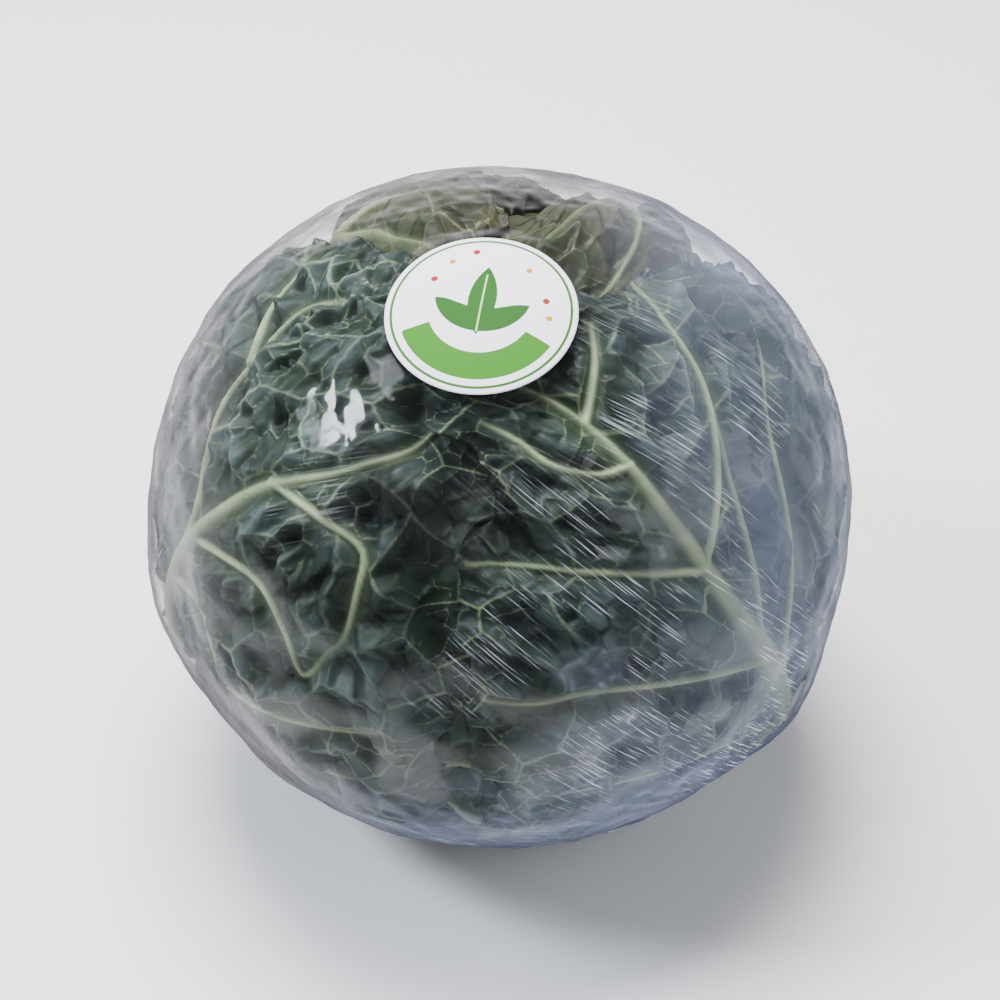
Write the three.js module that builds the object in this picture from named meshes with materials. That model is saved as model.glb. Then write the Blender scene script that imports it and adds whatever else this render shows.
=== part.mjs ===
// A savoy cabbage, stem down, in a skin of clear stretch film with a round paper label.
// Millimetres, +Z up. The origin is the middle of the cut stem's face, which the head stands on.
// The camera side of the head is -Y, and azimuths run from there towards +X.
//
// Every leaf is a thin blade laid out flat, in a leaf plane with x across and y from base to tip, and wrapped
// round the head. The leaves lie in layers that are counted inwards from one smooth outer form, so no two meet.
import * as THREE from "three";
import { mergeVertices } from "three/addons/utils/BufferGeometryUtils.js";

// The head's outer form
const CENTRE_HEIGHT = 86;
const HEAD_RADIUS = 94;
const HEAD_HALF_HEIGHT = 89;
const FLOOR_BLEND = 2.2;

// Swellings of the outer form: azimuth and latitude in degrees, then reach and height
const SWELLINGS = [
  { azimuth: 60, latitude: -20, reach: 19, height: 4 },
  { azimuth: -74, latitude: -8, reach: 20, height: 2.5 },
  { azimuth: 95, latitude: 45, reach: 48, height: 2.5 },
  { azimuth: -120, latitude: 50, reach: 45, height: 1.5 },
];

// Leaf layers
const WRAP_RADIUS = 96;
const LEAF_LATITUDE = 8;
const OPEN_LAYER_STEP = 8;
const COVERED_LAYER_STEP = 5.4;
const LAYER_GAP = 0.9;
const LAY_OVER_NEAR = 4;
const LAY_OVER_FAR = 24;
const STEM_END_SCALE = 0.5;
const STEM_END_FROM = -62;
const STEM_END_TO = -35;

// Leaf blade
const BLADE_THICKNESS = 1.1;
const NET_HEIGHT = 1.2;
const PIT_DEPTH = 4.4;
const DOME_HEIGHT = 2.4;
const DOME_SHARE = 0.3;
const VEIN_BED = -1.1;
const MARGIN_DROOP = -3;
const MARGIN_CRINKLE = 1.3;
const MARGIN_REACH = 14;
const MARGIN_WAVE = 2.6;
const COVERED_RELIEF_CAP = 1.8;
const COVERED_RELIEF_SHARE = 0.5;
const OPEN_RELIEF_CAP = 4.4;
const RIB_THICKENING = 0.9;
const OUTLINE_SPACING = 9;

// Under the film's rim the leaves keep this much higher than the floor
const BARE_BASE_RADIUS = 32;
const RIM_COVER_RADIUS = 42;
const RIM_COVER_HEIGHT = 3.4;

// Stem
const STEM_RADIUS = 17;
const STEM_FLARE_RADIUS = 19;
const STEM_NECK_RADIUS = 12.5;
const STEM_SIDES = 24;
const TOUCH_GAP = 0.4;

// Film
const FILM_STANDOFF = 5.4;
const FILM_THICKNESS = 0.6;
const FILM_FLOOR = 0.5;
const FILM_OPENING = 26;
const FILM_RIM_WAVE = 1.4;
const FILM_ROWS = 14;
const FILM_COLUMNS = 36;

// Label
const LABEL_DIAMETER = 48;
const LABEL_THICKNESS = 0.5;
const LABEL_AZIMUTH = -9.5;
const LABEL_LATITUDE = 72.5;
const LABEL_RINGS = 4;
const LABEL_SIDES = 28;

// Half-width of a leaf from its midrib, as [y, left, right]
const BROAD_BLADE = [
  [-141, 19, 19],
  [-120, 24, 24],
  [-98, 52, 52],
  [-74, 84, 84],
  [-40, 106, 106],
  [0, 114, 114],
  [40, 108, 108],
  [75, 84, 84],
  [98, 56, 56],
];
const RIGHT_LEAF_BLADE = [
  [-141, 19, 19],
  [-120, 32, 24],
  [-98, 72, 56],
  [-74, 92, 88],
  [-40, 98, 108],
  [-8, 86, 122],
  [16, 76, 132],
  [42, 64, 132],
  [64, 54, 118],
  [78, 34, 100],
  [92, 28, 80],
  [106, 24, 58],
];
const LEFT_LEAF_BLADE = [
  [-141, 19, 19],
  [-120, 24, 30],
  [-98, 52, 72],
  [-74, 84, 94],
  [-40, 108, 102],
  [-8, 116, 98],
  [16, 120, 92],
  [42, 120, 76],
  [64, 116, 54],
  [84, 104, 40],
  [102, 84, 22],
  [116, 62, 2],
];

// Veins in the leaf plane, as points from the midrib outwards
const RIGHT_LEAF_MIDRIB = [
  [0, -141],
  [-1, -95],
  [-8, -48],
  [-24, -8],
  [-34, 15],
  [-40, 43],
  [-42, 70],
  [-46, 92],
  [-53, 108],
];
const RIGHT_LEAF_VEINS = [
  [[-38, 31], [-22, 47], [-4, 69], [6, 89], [18, 106]],
  [[-17, -20], [-25, -1], [-24, 14], [-18, 44], [-5, 67]],
  [[-11, -38], [-15, -12], [-8, 13], [5, 46], [26, 60], [46, 72]],
  [[-4, -62], [12, -30], [32, 0], [54, 26], [76, 40]],
  [[-1, -92], [22, -66], [50, -42], [80, -18]],
  [[-41, 66], [-50, 68], [-59, 77], [-62, 88], [-66, 98]],
  [[-43, 82], [-26, 93], [-14, 102]],
  [[-38, 30], [-46, 34], [-66, 45], [-86, 57], [-95, 60]],
  [[-24, -10], [-51, 1], [-77, 10], [-92, 11], [-106, 15]],
  [[-8, -48], [-35, -40], [-66, -34], [-96, -32]],
  [[-1, -92], [-24, -80], [-54, -72]],
];
const LEFT_LEAF_MIDRIB = [
  [0, -141],
  [0, -95],
  [6, -45],
  [12, -12],
  [18, 8],
  [28, 28],
  [38, 46],
  [52, 62],
  [60, 78],
  [58, 96],
];
const LEFT_LEAF_VEINS = [
  [[15, 0], [17, 22], [3, 44], [-1, 60], [-6, 80], [2, 92]],
  [[38, 48], [57, 50], [72, 50], [77, 40], [80, 24], [77, 16]],
  [[21, 14], [48, 22], [63, 14], [72, 3], [77, 16]],
  [[13, -6], [31, -3], [37, -14], [41, -27], [61, -22], [79, -14], [96, -6]],
  [[3, -64], [28, -58], [58, -47], [84, -38]],
  [[8, -34], [-14, -5], [-34, 28], [-48, 60]],
  [[1, -74], [-30, -50], [-62, -18], [-86, 10]],
  [[1, -98], [-28, -84], [-62, -64]],
  [[-1, 60], [-18, 70], [-30, 84]],
];

// Wrapper leaves from the outermost in
const LEAVES = [
  {
    name: "leaf_1_right", azimuth: 62, stemEnd: 141, tip: 124, seed: 11, cell: 21,
    blade: RIGHT_LEAF_BLADE, midrib: RIGHT_LEAF_MIDRIB, veins: RIGHT_LEAF_VEINS,
  },
  {
    name: "leaf_2_left", azimuth: -76, stemEnd: 141, tip: 128, seed: 23, cell: 21,
    blade: LEFT_LEAF_BLADE, midrib: LEFT_LEAF_MIDRIB, veins: LEFT_LEAF_VEINS,
  },
  { name: "leaf_3_back_left", azimuth: -136, stemEnd: 141, tip: 130, seed: 53, cell: 24, bend: 10 },
  { name: "leaf_4_back", azimuth: 150, stemEnd: 139, tip: 140, seed: 37, cell: 24, bend: -12 },
  { name: "leaf_5_front", azimuth: 13, stemEnd: 137, tip: 116, seed: 41, cell: 24, bend: -8 },
  { name: "leaf_6_right_side", azimuth: 98, stemEnd: 134, tip: 120, seed: 67, cell: 31, bend: 8 },
  { name: "leaf_7_front_left", azimuth: -40, stemEnd: 131, tip: 146, seed: 79, cell: 31, bend: -10 },
];

// Overlapping leaves of the dense heart, shown as steps on its surface
const HEART_LEAVES = [
  { azimuth: 20, latitude: 25, reach: 74 },
  { azimuth: 160, latitude: 30, reach: 70 },
  { azimuth: -100, latitude: 28, reach: 72 },
  { azimuth: 60, latitude: 62, reach: 48 },
  { azimuth: -150, latitude: 66, reach: 42 },
];
const HEART_STEP = 1.1;
const HEART_GAP = 4;
const HEART_BASE_LIFT = 36;
const HEART_BASE_FROM = -42;
const HEART_BASE_TO = -80;
const HEART_CELL = 24;
const HEART_DETAIL = 8;

const LEAF_ROUGHNESS = 0.55;
const MATERIALS = {
  outerLeaf: new THREE.MeshStandardMaterial({ color: 0x3d5538, roughness: LEAF_ROUGHNESS, metalness: 0 }),
  innerLeaf: new THREE.MeshStandardMaterial({ color: 0x47663a, roughness: LEAF_ROUGHNESS, metalness: 0 }),
  heart: new THREE.MeshStandardMaterial({ color: 0x7c9858, roughness: 0.5, metalness: 0 }),
  stem: new THREE.MeshStandardMaterial({ color: 0xc6cfa0, roughness: 0.7, metalness: 0 }),
  film: new THREE.MeshStandardMaterial({
    color: 0xe6e8f0, roughness: 0.12, metalness: 0, transparent: true, opacity: 0.25,
  }),
  label: new THREE.MeshStandardMaterial({ color: 0xf2f1f6, roughness: 0.45, metalness: 0 }),
};

const radians = THREE.MathUtils.degToRad;
const mix = THREE.MathUtils.lerp;

function smoothstep(from, to, value) {
  const share = THREE.MathUtils.clamp((value - from) / (to - from), 0, 1);
  return share * share * (3 - 2 * share);
}

// A fixed draw from 0 to 1 for a pair of whole numbers
function draw(i, j, seed) {
  const value = Math.sin(i * 127.1 + j * 311.7 + seed * 74.7) * 43758.5453;
  return value - Math.floor(value);
}

function directionAt(azimuth, latitude) {
  const a = radians(azimuth);
  const l = radians(latitude);
  return new THREE.Vector3(Math.cos(l) * Math.sin(a), -Math.cos(l) * Math.cos(a), Math.sin(l));
}

const swellings = SWELLINGS.map((s) => ({ ...s, middle: directionAt(s.azimuth, s.latitude) }));

// Radius of the outermost leaf layer, from the head's centre
function envelope(direction) {
  const across = Math.hypot(direction.x, direction.y);
  let radius = 1 / Math.hypot(across / HEAD_RADIUS, direction.z / HEAD_HALF_HEIGHT);
  for (const s of swellings) {
    const away = direction.angleTo(s.middle) * HEAD_RADIUS;
    radius += s.height * Math.exp(-((away / s.reach) ** 2));
  }
  if (direction.z > -0.3) return radius;
  const floor = CENTRE_HEIGHT / -direction.z;
  return -FLOOR_BLEND * Math.log(Math.exp(-radius / FLOOR_BLEND) + Math.exp(-floor / FLOOR_BLEND));
}

// Relief and layers shrink towards the stem, where the leaves are all stalk
function reliefScale(direction) {
  const latitude = THREE.MathUtils.radToDeg(Math.asin(THREE.MathUtils.clamp(direction.z, -1, 1)));
  return mix(STEM_END_SCALE, 1, smoothstep(STEM_END_FROM, STEM_END_TO, latitude));
}

// The leaf plane is wrapped by angle and bearing from the leaf's middle
function leafFrame(azimuth, latitude) {
  const out = directionAt(azimuth, latitude);
  const up = directionAt(azimuth, latitude + 90);
  return { out, up, right: new THREE.Vector3().crossVectors(up, out) };
}

function toDirection(frame, x, y) {
  const reach = Math.hypot(x, y);
  const angle = reach / WRAP_RADIUS;
  const along = reach > 1e-9 ? Math.sin(angle) / reach : 0;
  return new THREE.Vector3()
    .addScaledVector(frame.out, Math.cos(angle))
    .addScaledVector(frame.right, x * along)
    .addScaledVector(frame.up, y * along);
}

function toPlane(frame, direction) {
  const reach = frame.out.angleTo(direction) * WRAP_RADIUS;
  const x = direction.dot(frame.right);
  const y = direction.dot(frame.up);
  const scale = reach / Math.max(Math.hypot(x, y), 1e-9);
  return [x * scale, y * scale];
}

// A smooth line through points, as a list of evenly spaced [x, y]
function smoothLine(points, spacing) {
  const curve = new THREE.SplineCurve(points.map(([x, y]) => new THREE.Vector2(x, y)));
  return curve.getSpacedPoints(Math.max(2, Math.round(curve.getLength() / spacing))).map((p) => [p.x, p.y]);
}

function distanceToLine(line, x, y) {
  let nearest = Infinity;
  let share = 0;
  for (let i = 0; i + 1 < line.length; i++) {
    const [ax, ay] = line[i];
    const dx = line[i + 1][0] - ax;
    const dy = line[i + 1][1] - ay;
    const t = THREE.MathUtils.clamp(((x - ax) * dx + (y - ay) * dy) / (dx * dx + dy * dy), 0, 1);
    const away = Math.hypot(x - ax - t * dx, y - ay - t * dy);
    if (away < nearest) {
      nearest = away;
      share = (i + t) / (line.length - 1);
    }
  }
  return { away: nearest, share };
}

function insideOutline(outline, x, y) {
  let inside = false;
  for (let i = 0, j = outline.length - 1; i < outline.length; j = i++) {
    const [ax, ay] = outline[i];
    const [bx, by] = outline[j];
    if (ay > y !== by > y && x < ((bx - ax) * (y - ay)) / (by - ay) + ax) inside = !inside;
  }
  return inside;
}

// Plain leaves share one rule for their midrib and side veins
function plainMidrib(leaf) {
  const length = leaf.stemEnd + leaf.tip;
  return [0, 0.25, 0.5, 0.75, 0.94].map((t) => [leaf.bend * t * t, -leaf.stemEnd + t * length]);
}

function plainVeins(leaf) {
  const veins = [];
  const length = leaf.stemEnd + leaf.tip;
  for (let i = 0; i < 9; i++) {
    const side = i % 2 ? 1 : -1;
    const t = 0.14 + 0.075 * i + 0.02 * draw(i, 1, leaf.seed);
    const reach = (98 - 7 * i) * (0.85 + 0.2 * draw(i, 2, leaf.seed));
    const rise = 46 + 14 * draw(i, 3, leaf.seed);
    const x = leaf.bend * t * t;
    const y = -leaf.stemEnd + t * length;
    const bow = 0.42 + 0.2 * draw(i, 4, leaf.seed);
    veins.push([
      [x, y],
      [x + side * reach * bow, y + rise * 0.36],
      [x + side * reach * 0.8, y + rise * 0.72],
      [x + side * reach, y + rise * 1.15],
    ]);
  }
  return veins;
}

// The outline runs up the right side and down the left, with a waved margin away from the stalk
function leafOutline(leaf, midrib) {
  const blade = (leaf.blade || BROAD_BLADE)
    .filter(([y]) => y < leaf.tip - 8 && y >= -141)
    .map(([y, left, right], i) => [i ? y : -leaf.stemEnd, left, right]);
  const middle = (y) => {
    const i = Math.max(1, midrib.findIndex((p) => p[1] >= y));
    const [ax, ay] = midrib[i - 1];
    const [bx, by] = midrib[i];
    return mix(ax, bx, THREE.MathUtils.clamp((y - ay) / (by - ay), 0, 1));
  };
  const rightSide = blade.map(([y, , right]) => [middle(Math.min(y, midrib.at(-1)[1])) + right, y]);
  const leftSide = blade.map(([y, left]) => [middle(Math.min(y, midrib.at(-1)[1])) - left, y]).reverse();
  const tipX = (rightSide.at(-1)[0] + leftSide[0][0]) / 2;
  const line = smoothLine([...rightSide, [tipX, leaf.tip], ...leftSide], OUTLINE_SPACING);
  return line.map(([x, y], i) => {
    const before = line[Math.max(0, i - 1)];
    const after = line[Math.min(line.length - 1, i + 1)];
    const length = Math.hypot(after[0] - before[0], after[1] - before[1]);
    const free = smoothstep(-105, -80, y) * MARGIN_WAVE;
    const wave = free * (Math.sin(i * 2.1 + leaf.seed) + 0.6 * Math.sin(i * 0.9 + 2 * leaf.seed)) * 0.6;
    return [x + ((after[1] - before[1]) / length) * wave, y - ((after[0] - before[0]) / length) * wave];
  });
}

// Veins are smooth lines with a half-width and a height that fall towards their ends
function buildVeins(leaf, midrib) {
  const side = (points) => ({ line: smoothLine(points, 6), wide: [2.1, 0.8], high: [2.8, 1.4], edge: 1.6 });
  const stalk = { line: smoothLine(midrib, 7), wide: [10, 1.4], high: [5.6, 2], edge: 3 };
  return [stalk, ...(leaf.veins || plainVeins(leaf)).map(side)];
}

const leaves = LEAVES.map((leaf) => {
  const midrib = leaf.midrib || plainMidrib(leaf);
  return {
    ...leaf,
    frame: leafFrame(leaf.azimuth, LEAF_LATITUDE),
    outline: leafOutline(leaf, smoothLine(midrib, 6)),
    veins: buildVeins(leaf, midrib),
  };
});

// Share from 0 to 1 of how far a leaf pushes in whatever lies under it
function layOver(leaf, direction) {
  const [x, y] = toPlane(leaf.frame, direction);
  if (insideOutline(leaf.outline, x, y)) return 1;
  const scale = reliefScale(direction);
  const closed = [...leaf.outline, leaf.outline[0]];
  const near = LAY_OVER_NEAR * scale;
  const far = LAY_OVER_FAR * (1.2 * scale - 0.2);
  return 1 - smoothstep(near, far, distanceToLine(closed, x, y).away);
}

// Radius of a layer, and how far it is covered: every leaf outside it takes one step, a smaller one if that
// leaf is itself covered and so pressed flatter
function layerAt(order, direction) {
  const scale = reliefScale(direction);
  let radius = envelope(direction);
  let covered = 0;
  for (const leaf of leaves.slice(0, order)) {
    const over = layOver(leaf, direction);
    radius -= over * (mix(OPEN_LAYER_STEP, COVERED_LAYER_STEP, covered) * scale + LAYER_GAP);
    covered = Math.max(covered, over);
  }
  return { radius, covered };
}

// A slow bend of the plane, so that the cells aren't in rows
function warp(x, y, seed) {
  return [
    4.5 * Math.sin(y / 17 + seed) + 2.5 * Math.sin(y / 7.3 + x / 23),
    4.5 * Math.sin(x / 19 + 2 * seed) + 2.5 * Math.sin(x / 8.1 - y / 21),
  ];
}

const ROW_RATIO = Math.sqrt(3) / 2;
const CELL_JITTER = 0.3;

function cellSeed(i, j, size, seed) {
  const stagger = j % 2 ? 0.5 : 0;
  return [
    (i + stagger + (draw(i, j, seed) - 0.5) * 2 * CELL_JITTER) * size,
    (j + (draw(i, j, seed + 1) - 0.5) * 2 * CELL_JITTER) * size * ROW_RATIO,
  ];
}

// The blistered cell at a point: distance to its border, and how far its middle is lifted
function cellAt(x, y, size, seed) {
  const [wx, wy] = warp(x, y, seed);
  const u = x + wx;
  const v = y + wy;
  const row = Math.floor(v / (size * ROW_RATIO));
  const column = Math.floor(u / size);
  const found = [];
  for (let j = row - 1; j <= row + 2; j++) {
    for (let i = column - 2; i <= column + 2; i++) {
      const [sx, sy] = cellSeed(i, j, size, seed);
      found.push({ i, j, sx, sy, away: Math.hypot(u - sx, v - sy) });
    }
  }
  found.sort((a, b) => a.away - b.away);
  const [first, second] = found;
  const border = (second.away ** 2 - first.away ** 2) /
    (2 * Math.hypot(first.sx - second.sx, first.sy - second.sy));
  const kind = draw(first.i, first.j, seed + 2);
  const amount = draw(first.i, first.j, seed + 3);
  const lift = kind < DOME_SHARE ? mix(0.4, DOME_HEIGHT, amount) : -mix(0.8, PIT_DEPTH, amount);
  return { border, lift };
}

// Height of the blade over its layer, and of the ribs over the blade
function reliefAt(leaf, x, y) {
  const cell = cellAt(x, y, leaf.cell, leaf.seed);
  let blade = mix(NET_HEIGHT, cell.lift, smoothstep(0, leaf.cell * 0.4, cell.border));
  let rib = 0;
  for (const vein of leaf.veins) {
    const { away, share } = distanceToLine(vein.line, x, y);
    const wide = mix(vein.wide[0], vein.wide[1], share);
    const high = mix(vein.high[0], vein.high[1], share);
    blade = mix(VEIN_BED, blade, smoothstep(wide * 0.8, wide * 1.4 + 4, away));
    rib = Math.max(rib, high * Math.exp(-((away / wide) ** vein.edge)));
  }
  const closed = [...leaf.outline, leaf.outline[0]];
  const margin = distanceToLine(closed, x, y);
  const turns = (closed.length - 1) * margin.share;
  const crinkle = MARGIN_DROOP + MARGIN_CRINKLE * Math.sin(2.2 * turns + leaf.seed);
  const free = smoothstep(-110, -85, y);
  blade = mix(blade, crinkle, 0.85 * free * smoothstep(MARGIN_REACH, 0, margin.away));
  return { blade, rib };
}

// Flat triangles over scattered points, by adding one at a time (Bowyer and Watson)
function triangulate(points) {
  const far = 5000;
  const all = [...points, [-far, -far], [far, -far], [0, far]];
  const circle = (a, b, c) => {
    const [ax, ay] = all[a];
    const bx = all[b][0] - ax;
    const by = all[b][1] - ay;
    const cx = all[c][0] - ax;
    const cy = all[c][1] - ay;
    const twice = 2 * (bx * cy - by * cx);
    const ux = (cy * (bx * bx + by * by) - by * (cx * cx + cy * cy)) / twice;
    const uy = (bx * (cx * cx + cy * cy) - cx * (bx * bx + by * by)) / twice;
    return { corners: [a, b, c], x: ax + ux, y: ay + uy, reach: ux * ux + uy * uy };
  };
  let triangles = [circle(points.length, points.length + 1, points.length + 2)];
  points.forEach(([x, y], p) => {
    const edges = new Map();
    triangles = triangles.filter((t) => {
      if ((t.x - x) ** 2 + (t.y - y) ** 2 >= t.reach) return true;
      const [a, b, c] = t.corners;
      for (const [from, to] of [[a, b], [b, c], [c, a]]) {
        if (edges.has(`${to},${from}`)) edges.delete(`${to},${from}`);
        else edges.set(`${from},${to}`, [from, to]);
      }
      return false;
    });
    for (const [from, to] of edges.values()) triangles.push(circle(from, to, p));
  });
  return triangles.map((t) => t.corners).filter((corners) => corners.every((c) => c < points.length));
}

// Points that carry the leaf's shape: its outline, its ribs and their flanks, and the cells' middles and corners
function leafPoints(leaf) {
  const points = [...leaf.outline];
  const add = (x, y, apart) => {
    if (!insideOutline(leaf.outline, x, y)) return;
    if (points.every(([px, py]) => Math.hypot(px - x, py - y) > apart)) points.push([x, y]);
  };
  const ribs = [];
  leaf.veins.forEach((vein, order) => {
    const stride = order ? 2 : 1;
    for (let i = order ? 2 : 1; i < vein.line.length - 1; i += stride) {
      const [x, y] = vein.line[i];
      const dx = vein.line[i + 1][0] - vein.line[i - 1][0];
      const dy = vein.line[i + 1][1] - vein.line[i - 1][1];
      const wide = mix(vein.wide[0], vein.wide[1], i / (vein.line.length - 1));
      ribs.push({ x, y, across: [dy / Math.hypot(dx, dy), -dx / Math.hypot(dx, dy)], wide, order });
    }
  });
  const beside = (r, reach, apart) => {
    for (const side of [-reach, reach]) add(r.x + side * r.across[0], r.y + side * r.across[1], apart);
  };
  for (const r of ribs) {
    if (r.order || r.wide < 5) add(r.x, r.y, 4);
    else beside(r, r.wide * 0.6, 4);
  }
  for (const r of ribs) beside(r, r.wide * 1.25 + 1, 3);
  const size = leaf.cell;
  const reach = Math.ceil(170 / (size * ROW_RATIO));
  const unwarp = ([u, v]) => {
    let [x, y] = [u, v];
    for (let i = 0; i < 4; i++) {
      const [wx, wy] = warp(x, y, leaf.seed);
      [x, y] = [u - wx, v - wy];
    }
    return [x, y];
  };
  const middles = [];
  for (let j = -reach; j <= reach; j++) {
    for (let i = -reach; i <= reach; i++) middles.push(cellSeed(i, j, size, leaf.seed));
  }
  for (const middle of middles) add(...unwarp(middle), size * 0.3);
  for (const corners of triangulate(middles)) {
    const x = (middles[corners[0]][0] + middles[corners[1]][0] + middles[corners[2]][0]) / 3;
    const y = (middles[corners[0]][1] + middles[corners[1]][1] + middles[corners[2]][1]) / 3;
    add(...unwarp([x, y]), size * 0.3);
  }
  return points;
}

// Lifts a point along its direction, but no lower than the floor or the film's rim allows
function placePoint(direction, radius, above) {
  const across = radius * Math.hypot(direction.x, direction.y);
  const lowest = above + RIM_COVER_HEIGHT * smoothstep(BARE_BASE_RADIUS, RIM_COVER_RADIUS, across);
  const limit = direction.z < -0.1 ? (CENTRE_HEIGHT - lowest) / -direction.z : Infinity;
  return direction.clone().multiplyScalar(Math.min(radius, limit)).add(new THREE.Vector3(0, 0, CENTRE_HEIGHT));
}

// A closed solid from two matching faces: outer and inner points over the same triangles
function closedShell(outer, inner, triangles) {
  const count = outer.length;
  const index = [];
  const rim = new Map();
  for (const [a, b, c] of triangles) {
    index.push(a, b, c, count + c, count + b, count + a);
    for (const [from, to] of [[a, b], [b, c], [c, a]]) {
      if (rim.has(`${to},${from}`)) rim.delete(`${to},${from}`);
      else rim.set(`${from},${to}`, [from, to]);
    }
  }
  for (const [from, to] of rim.values()) index.push(from, count + from, to, to, count + from, count + to);
  const geometry = new THREE.BufferGeometry();
  const positions = [...outer, ...inner].flatMap((p) => [p.x, p.y, p.z]);
  geometry.setAttribute("position", new THREE.Float32BufferAttribute(positions, 3));
  geometry.setIndex(index);
  geometry.computeVertexNormals();
  return geometry;
}

function leafGeometry(leaf, order) {
  const points = leafPoints(leaf);
  const triangles = triangulate(points).filter((corners) => {
    const x = (points[corners[0]][0] + points[corners[1]][0] + points[corners[2]][0]) / 3;
    const y = (points[corners[0]][1] + points[corners[1]][1] + points[corners[2]][1]) / 3;
    return insideOutline(leaf.outline, x, y);
  });
  const outer = [];
  const inner = [];
  for (const [x, y] of points) {
    const direction = toDirection(leaf.frame, x, y);
    const scale = reliefScale(direction);
    const { radius, covered } = layerAt(order, direction);
    const { blade, rib } = reliefAt(leaf, x, y);
    const relief = blade * scale * mix(1, COVERED_RELIEF_SHARE, covered);
    const cap = mix(OPEN_RELIEF_CAP, COVERED_RELIEF_CAP * scale, covered);
    const top = Math.min(relief + rib, cap);
    const thickness = BLADE_THICKNESS + RIB_THICKENING * smoothstep(0.5, 3, rib);
    const bottom = Math.min(relief, top) - thickness;
    outer.push(placePoint(direction, radius + top, 0));
    inner.push(placePoint(direction, radius + bottom, thickness));
  }
  return closedShell(outer, inner, triangles);
}

// The heart's underside is hollowed upwards over the stem
function heartBaseLift(direction) {
  const latitude = THREE.MathUtils.radToDeg(Math.asin(THREE.MathUtils.clamp(direction.z, -1, 1)));
  return HEART_BASE_LIFT * smoothstep(HEART_BASE_FROM, HEART_BASE_TO, latitude);
}

// The dense heart: one body whose surface shows the overlapping, blistered leaves
function heartGeometry() {
  const geometry = new THREE.IcosahedronGeometry(1, HEART_DETAIL);
  geometry.deleteAttribute("normal");
  geometry.deleteAttribute("uv");
  const merged = mergeVertices(geometry, 1e-5);
  const position = merged.getAttribute("position");
  const steps = HEART_LEAVES.map((h) => ({ middle: directionAt(h.azimuth, h.latitude), reach: h.reach }));
  for (let i = 0; i < position.count; i++) {
    const direction = new THREE.Vector3().fromBufferAttribute(position, i).normalize();
    const scale = reliefScale(direction);
    const [x, y] = toPlane(leafFrame(0, 90), direction);
    const cell = cellAt(x, y, HEART_CELL, 5);
    let height = mix(NET_HEIGHT, cell.lift, smoothstep(0, HEART_CELL * 0.4, cell.border)) * 0.5 - HEART_GAP;
    for (const step of steps) {
      const away = THREE.MathUtils.radToDeg(direction.angleTo(step.middle));
      height += HEART_STEP * smoothstep(step.reach, step.reach - 5, away);
    }
    const layer = layerAt(leaves.length, direction).radius - heartBaseLift(direction);
    const radius = layer + Math.min(height, 2) * scale;
    position.setXYZ(i, direction.x * radius, direction.y * radius, direction.z * radius + CENTRE_HEIGHT);
  }
  merged.computeVertexNormals();
  return merged;
}

// The cut stem, standing on its flat face, up to just under the heart
function stemGeometry() {
  const down = new THREE.Vector3(0, 0, -1);
  const top = CENTRE_HEIGHT - layerAt(leaves.length, down).radius + heartBaseLift(down) - 3;
  const profile = [
    [0, 0],
    [STEM_RADIUS, 0],
    [STEM_FLARE_RADIUS, 3],
    [STEM_FLARE_RADIUS - 1.5, 8],
    [STEM_NECK_RADIUS, top * 0.6],
    [STEM_NECK_RADIUS - 2, top],
    [0, top],
  ].map(([radius, height]) => new THREE.Vector2(radius, height));
  const geometry = new THREE.LatheGeometry(profile, STEM_SIDES);
  geometry.rotateX(Math.PI / 2);
  geometry.deleteAttribute("normal");
  geometry.deleteAttribute("uv");
  const merged = mergeVertices(geometry, 1e-4);
  merged.computeVertexNormals();
  return merged;
}

// Outside radius of the film, which spans the leaves and keeps off the floor
function filmRadius(direction) {
  const radius = envelope(direction) + FILM_STANDOFF + FILM_THICKNESS;
  return direction.z < -0.1 ? Math.min(radius, (CENTRE_HEIGHT - FILM_FLOOR) / -direction.z) : radius;
}

function filmGeometry() {
  const directions = [new THREE.Vector3(0, 0, 1)];
  const triangles = [];
  const at = (row, column) => 1 + (row - 1) * FILM_COLUMNS + (column % FILM_COLUMNS);
  for (let row = 1; row <= FILM_ROWS; row++) {
    for (let column = 0; column < FILM_COLUMNS; column++) {
      const wave = row === FILM_ROWS && column % 2 ? FILM_RIM_WAVE : 0;
      const latitude = 90 - ((180 - FILM_OPENING) * row) / FILM_ROWS - wave;
      directions.push(directionAt((360 * column) / FILM_COLUMNS, latitude));
    }
  }
  for (let column = 0; column < FILM_COLUMNS; column++) {
    triangles.push([0, at(1, column), at(1, column + 1)]);
    for (let row = 1; row < FILM_ROWS; row++) {
      triangles.push([at(row, column), at(row + 1, column), at(row + 1, column + 1)]);
      triangles.push([at(row, column), at(row + 1, column + 1), at(row, column + 1)]);
    }
  }
  const lift = new THREE.Vector3(0, 0, CENTRE_HEIGHT);
  const outer = directions.map((d) => d.clone().multiplyScalar(filmRadius(d)).add(lift));
  const inner = directions.map((d) => d.clone().multiplyScalar(filmRadius(d) - FILM_THICKNESS).add(lift));
  return closedShell(outer, inner, triangles);
}

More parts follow.
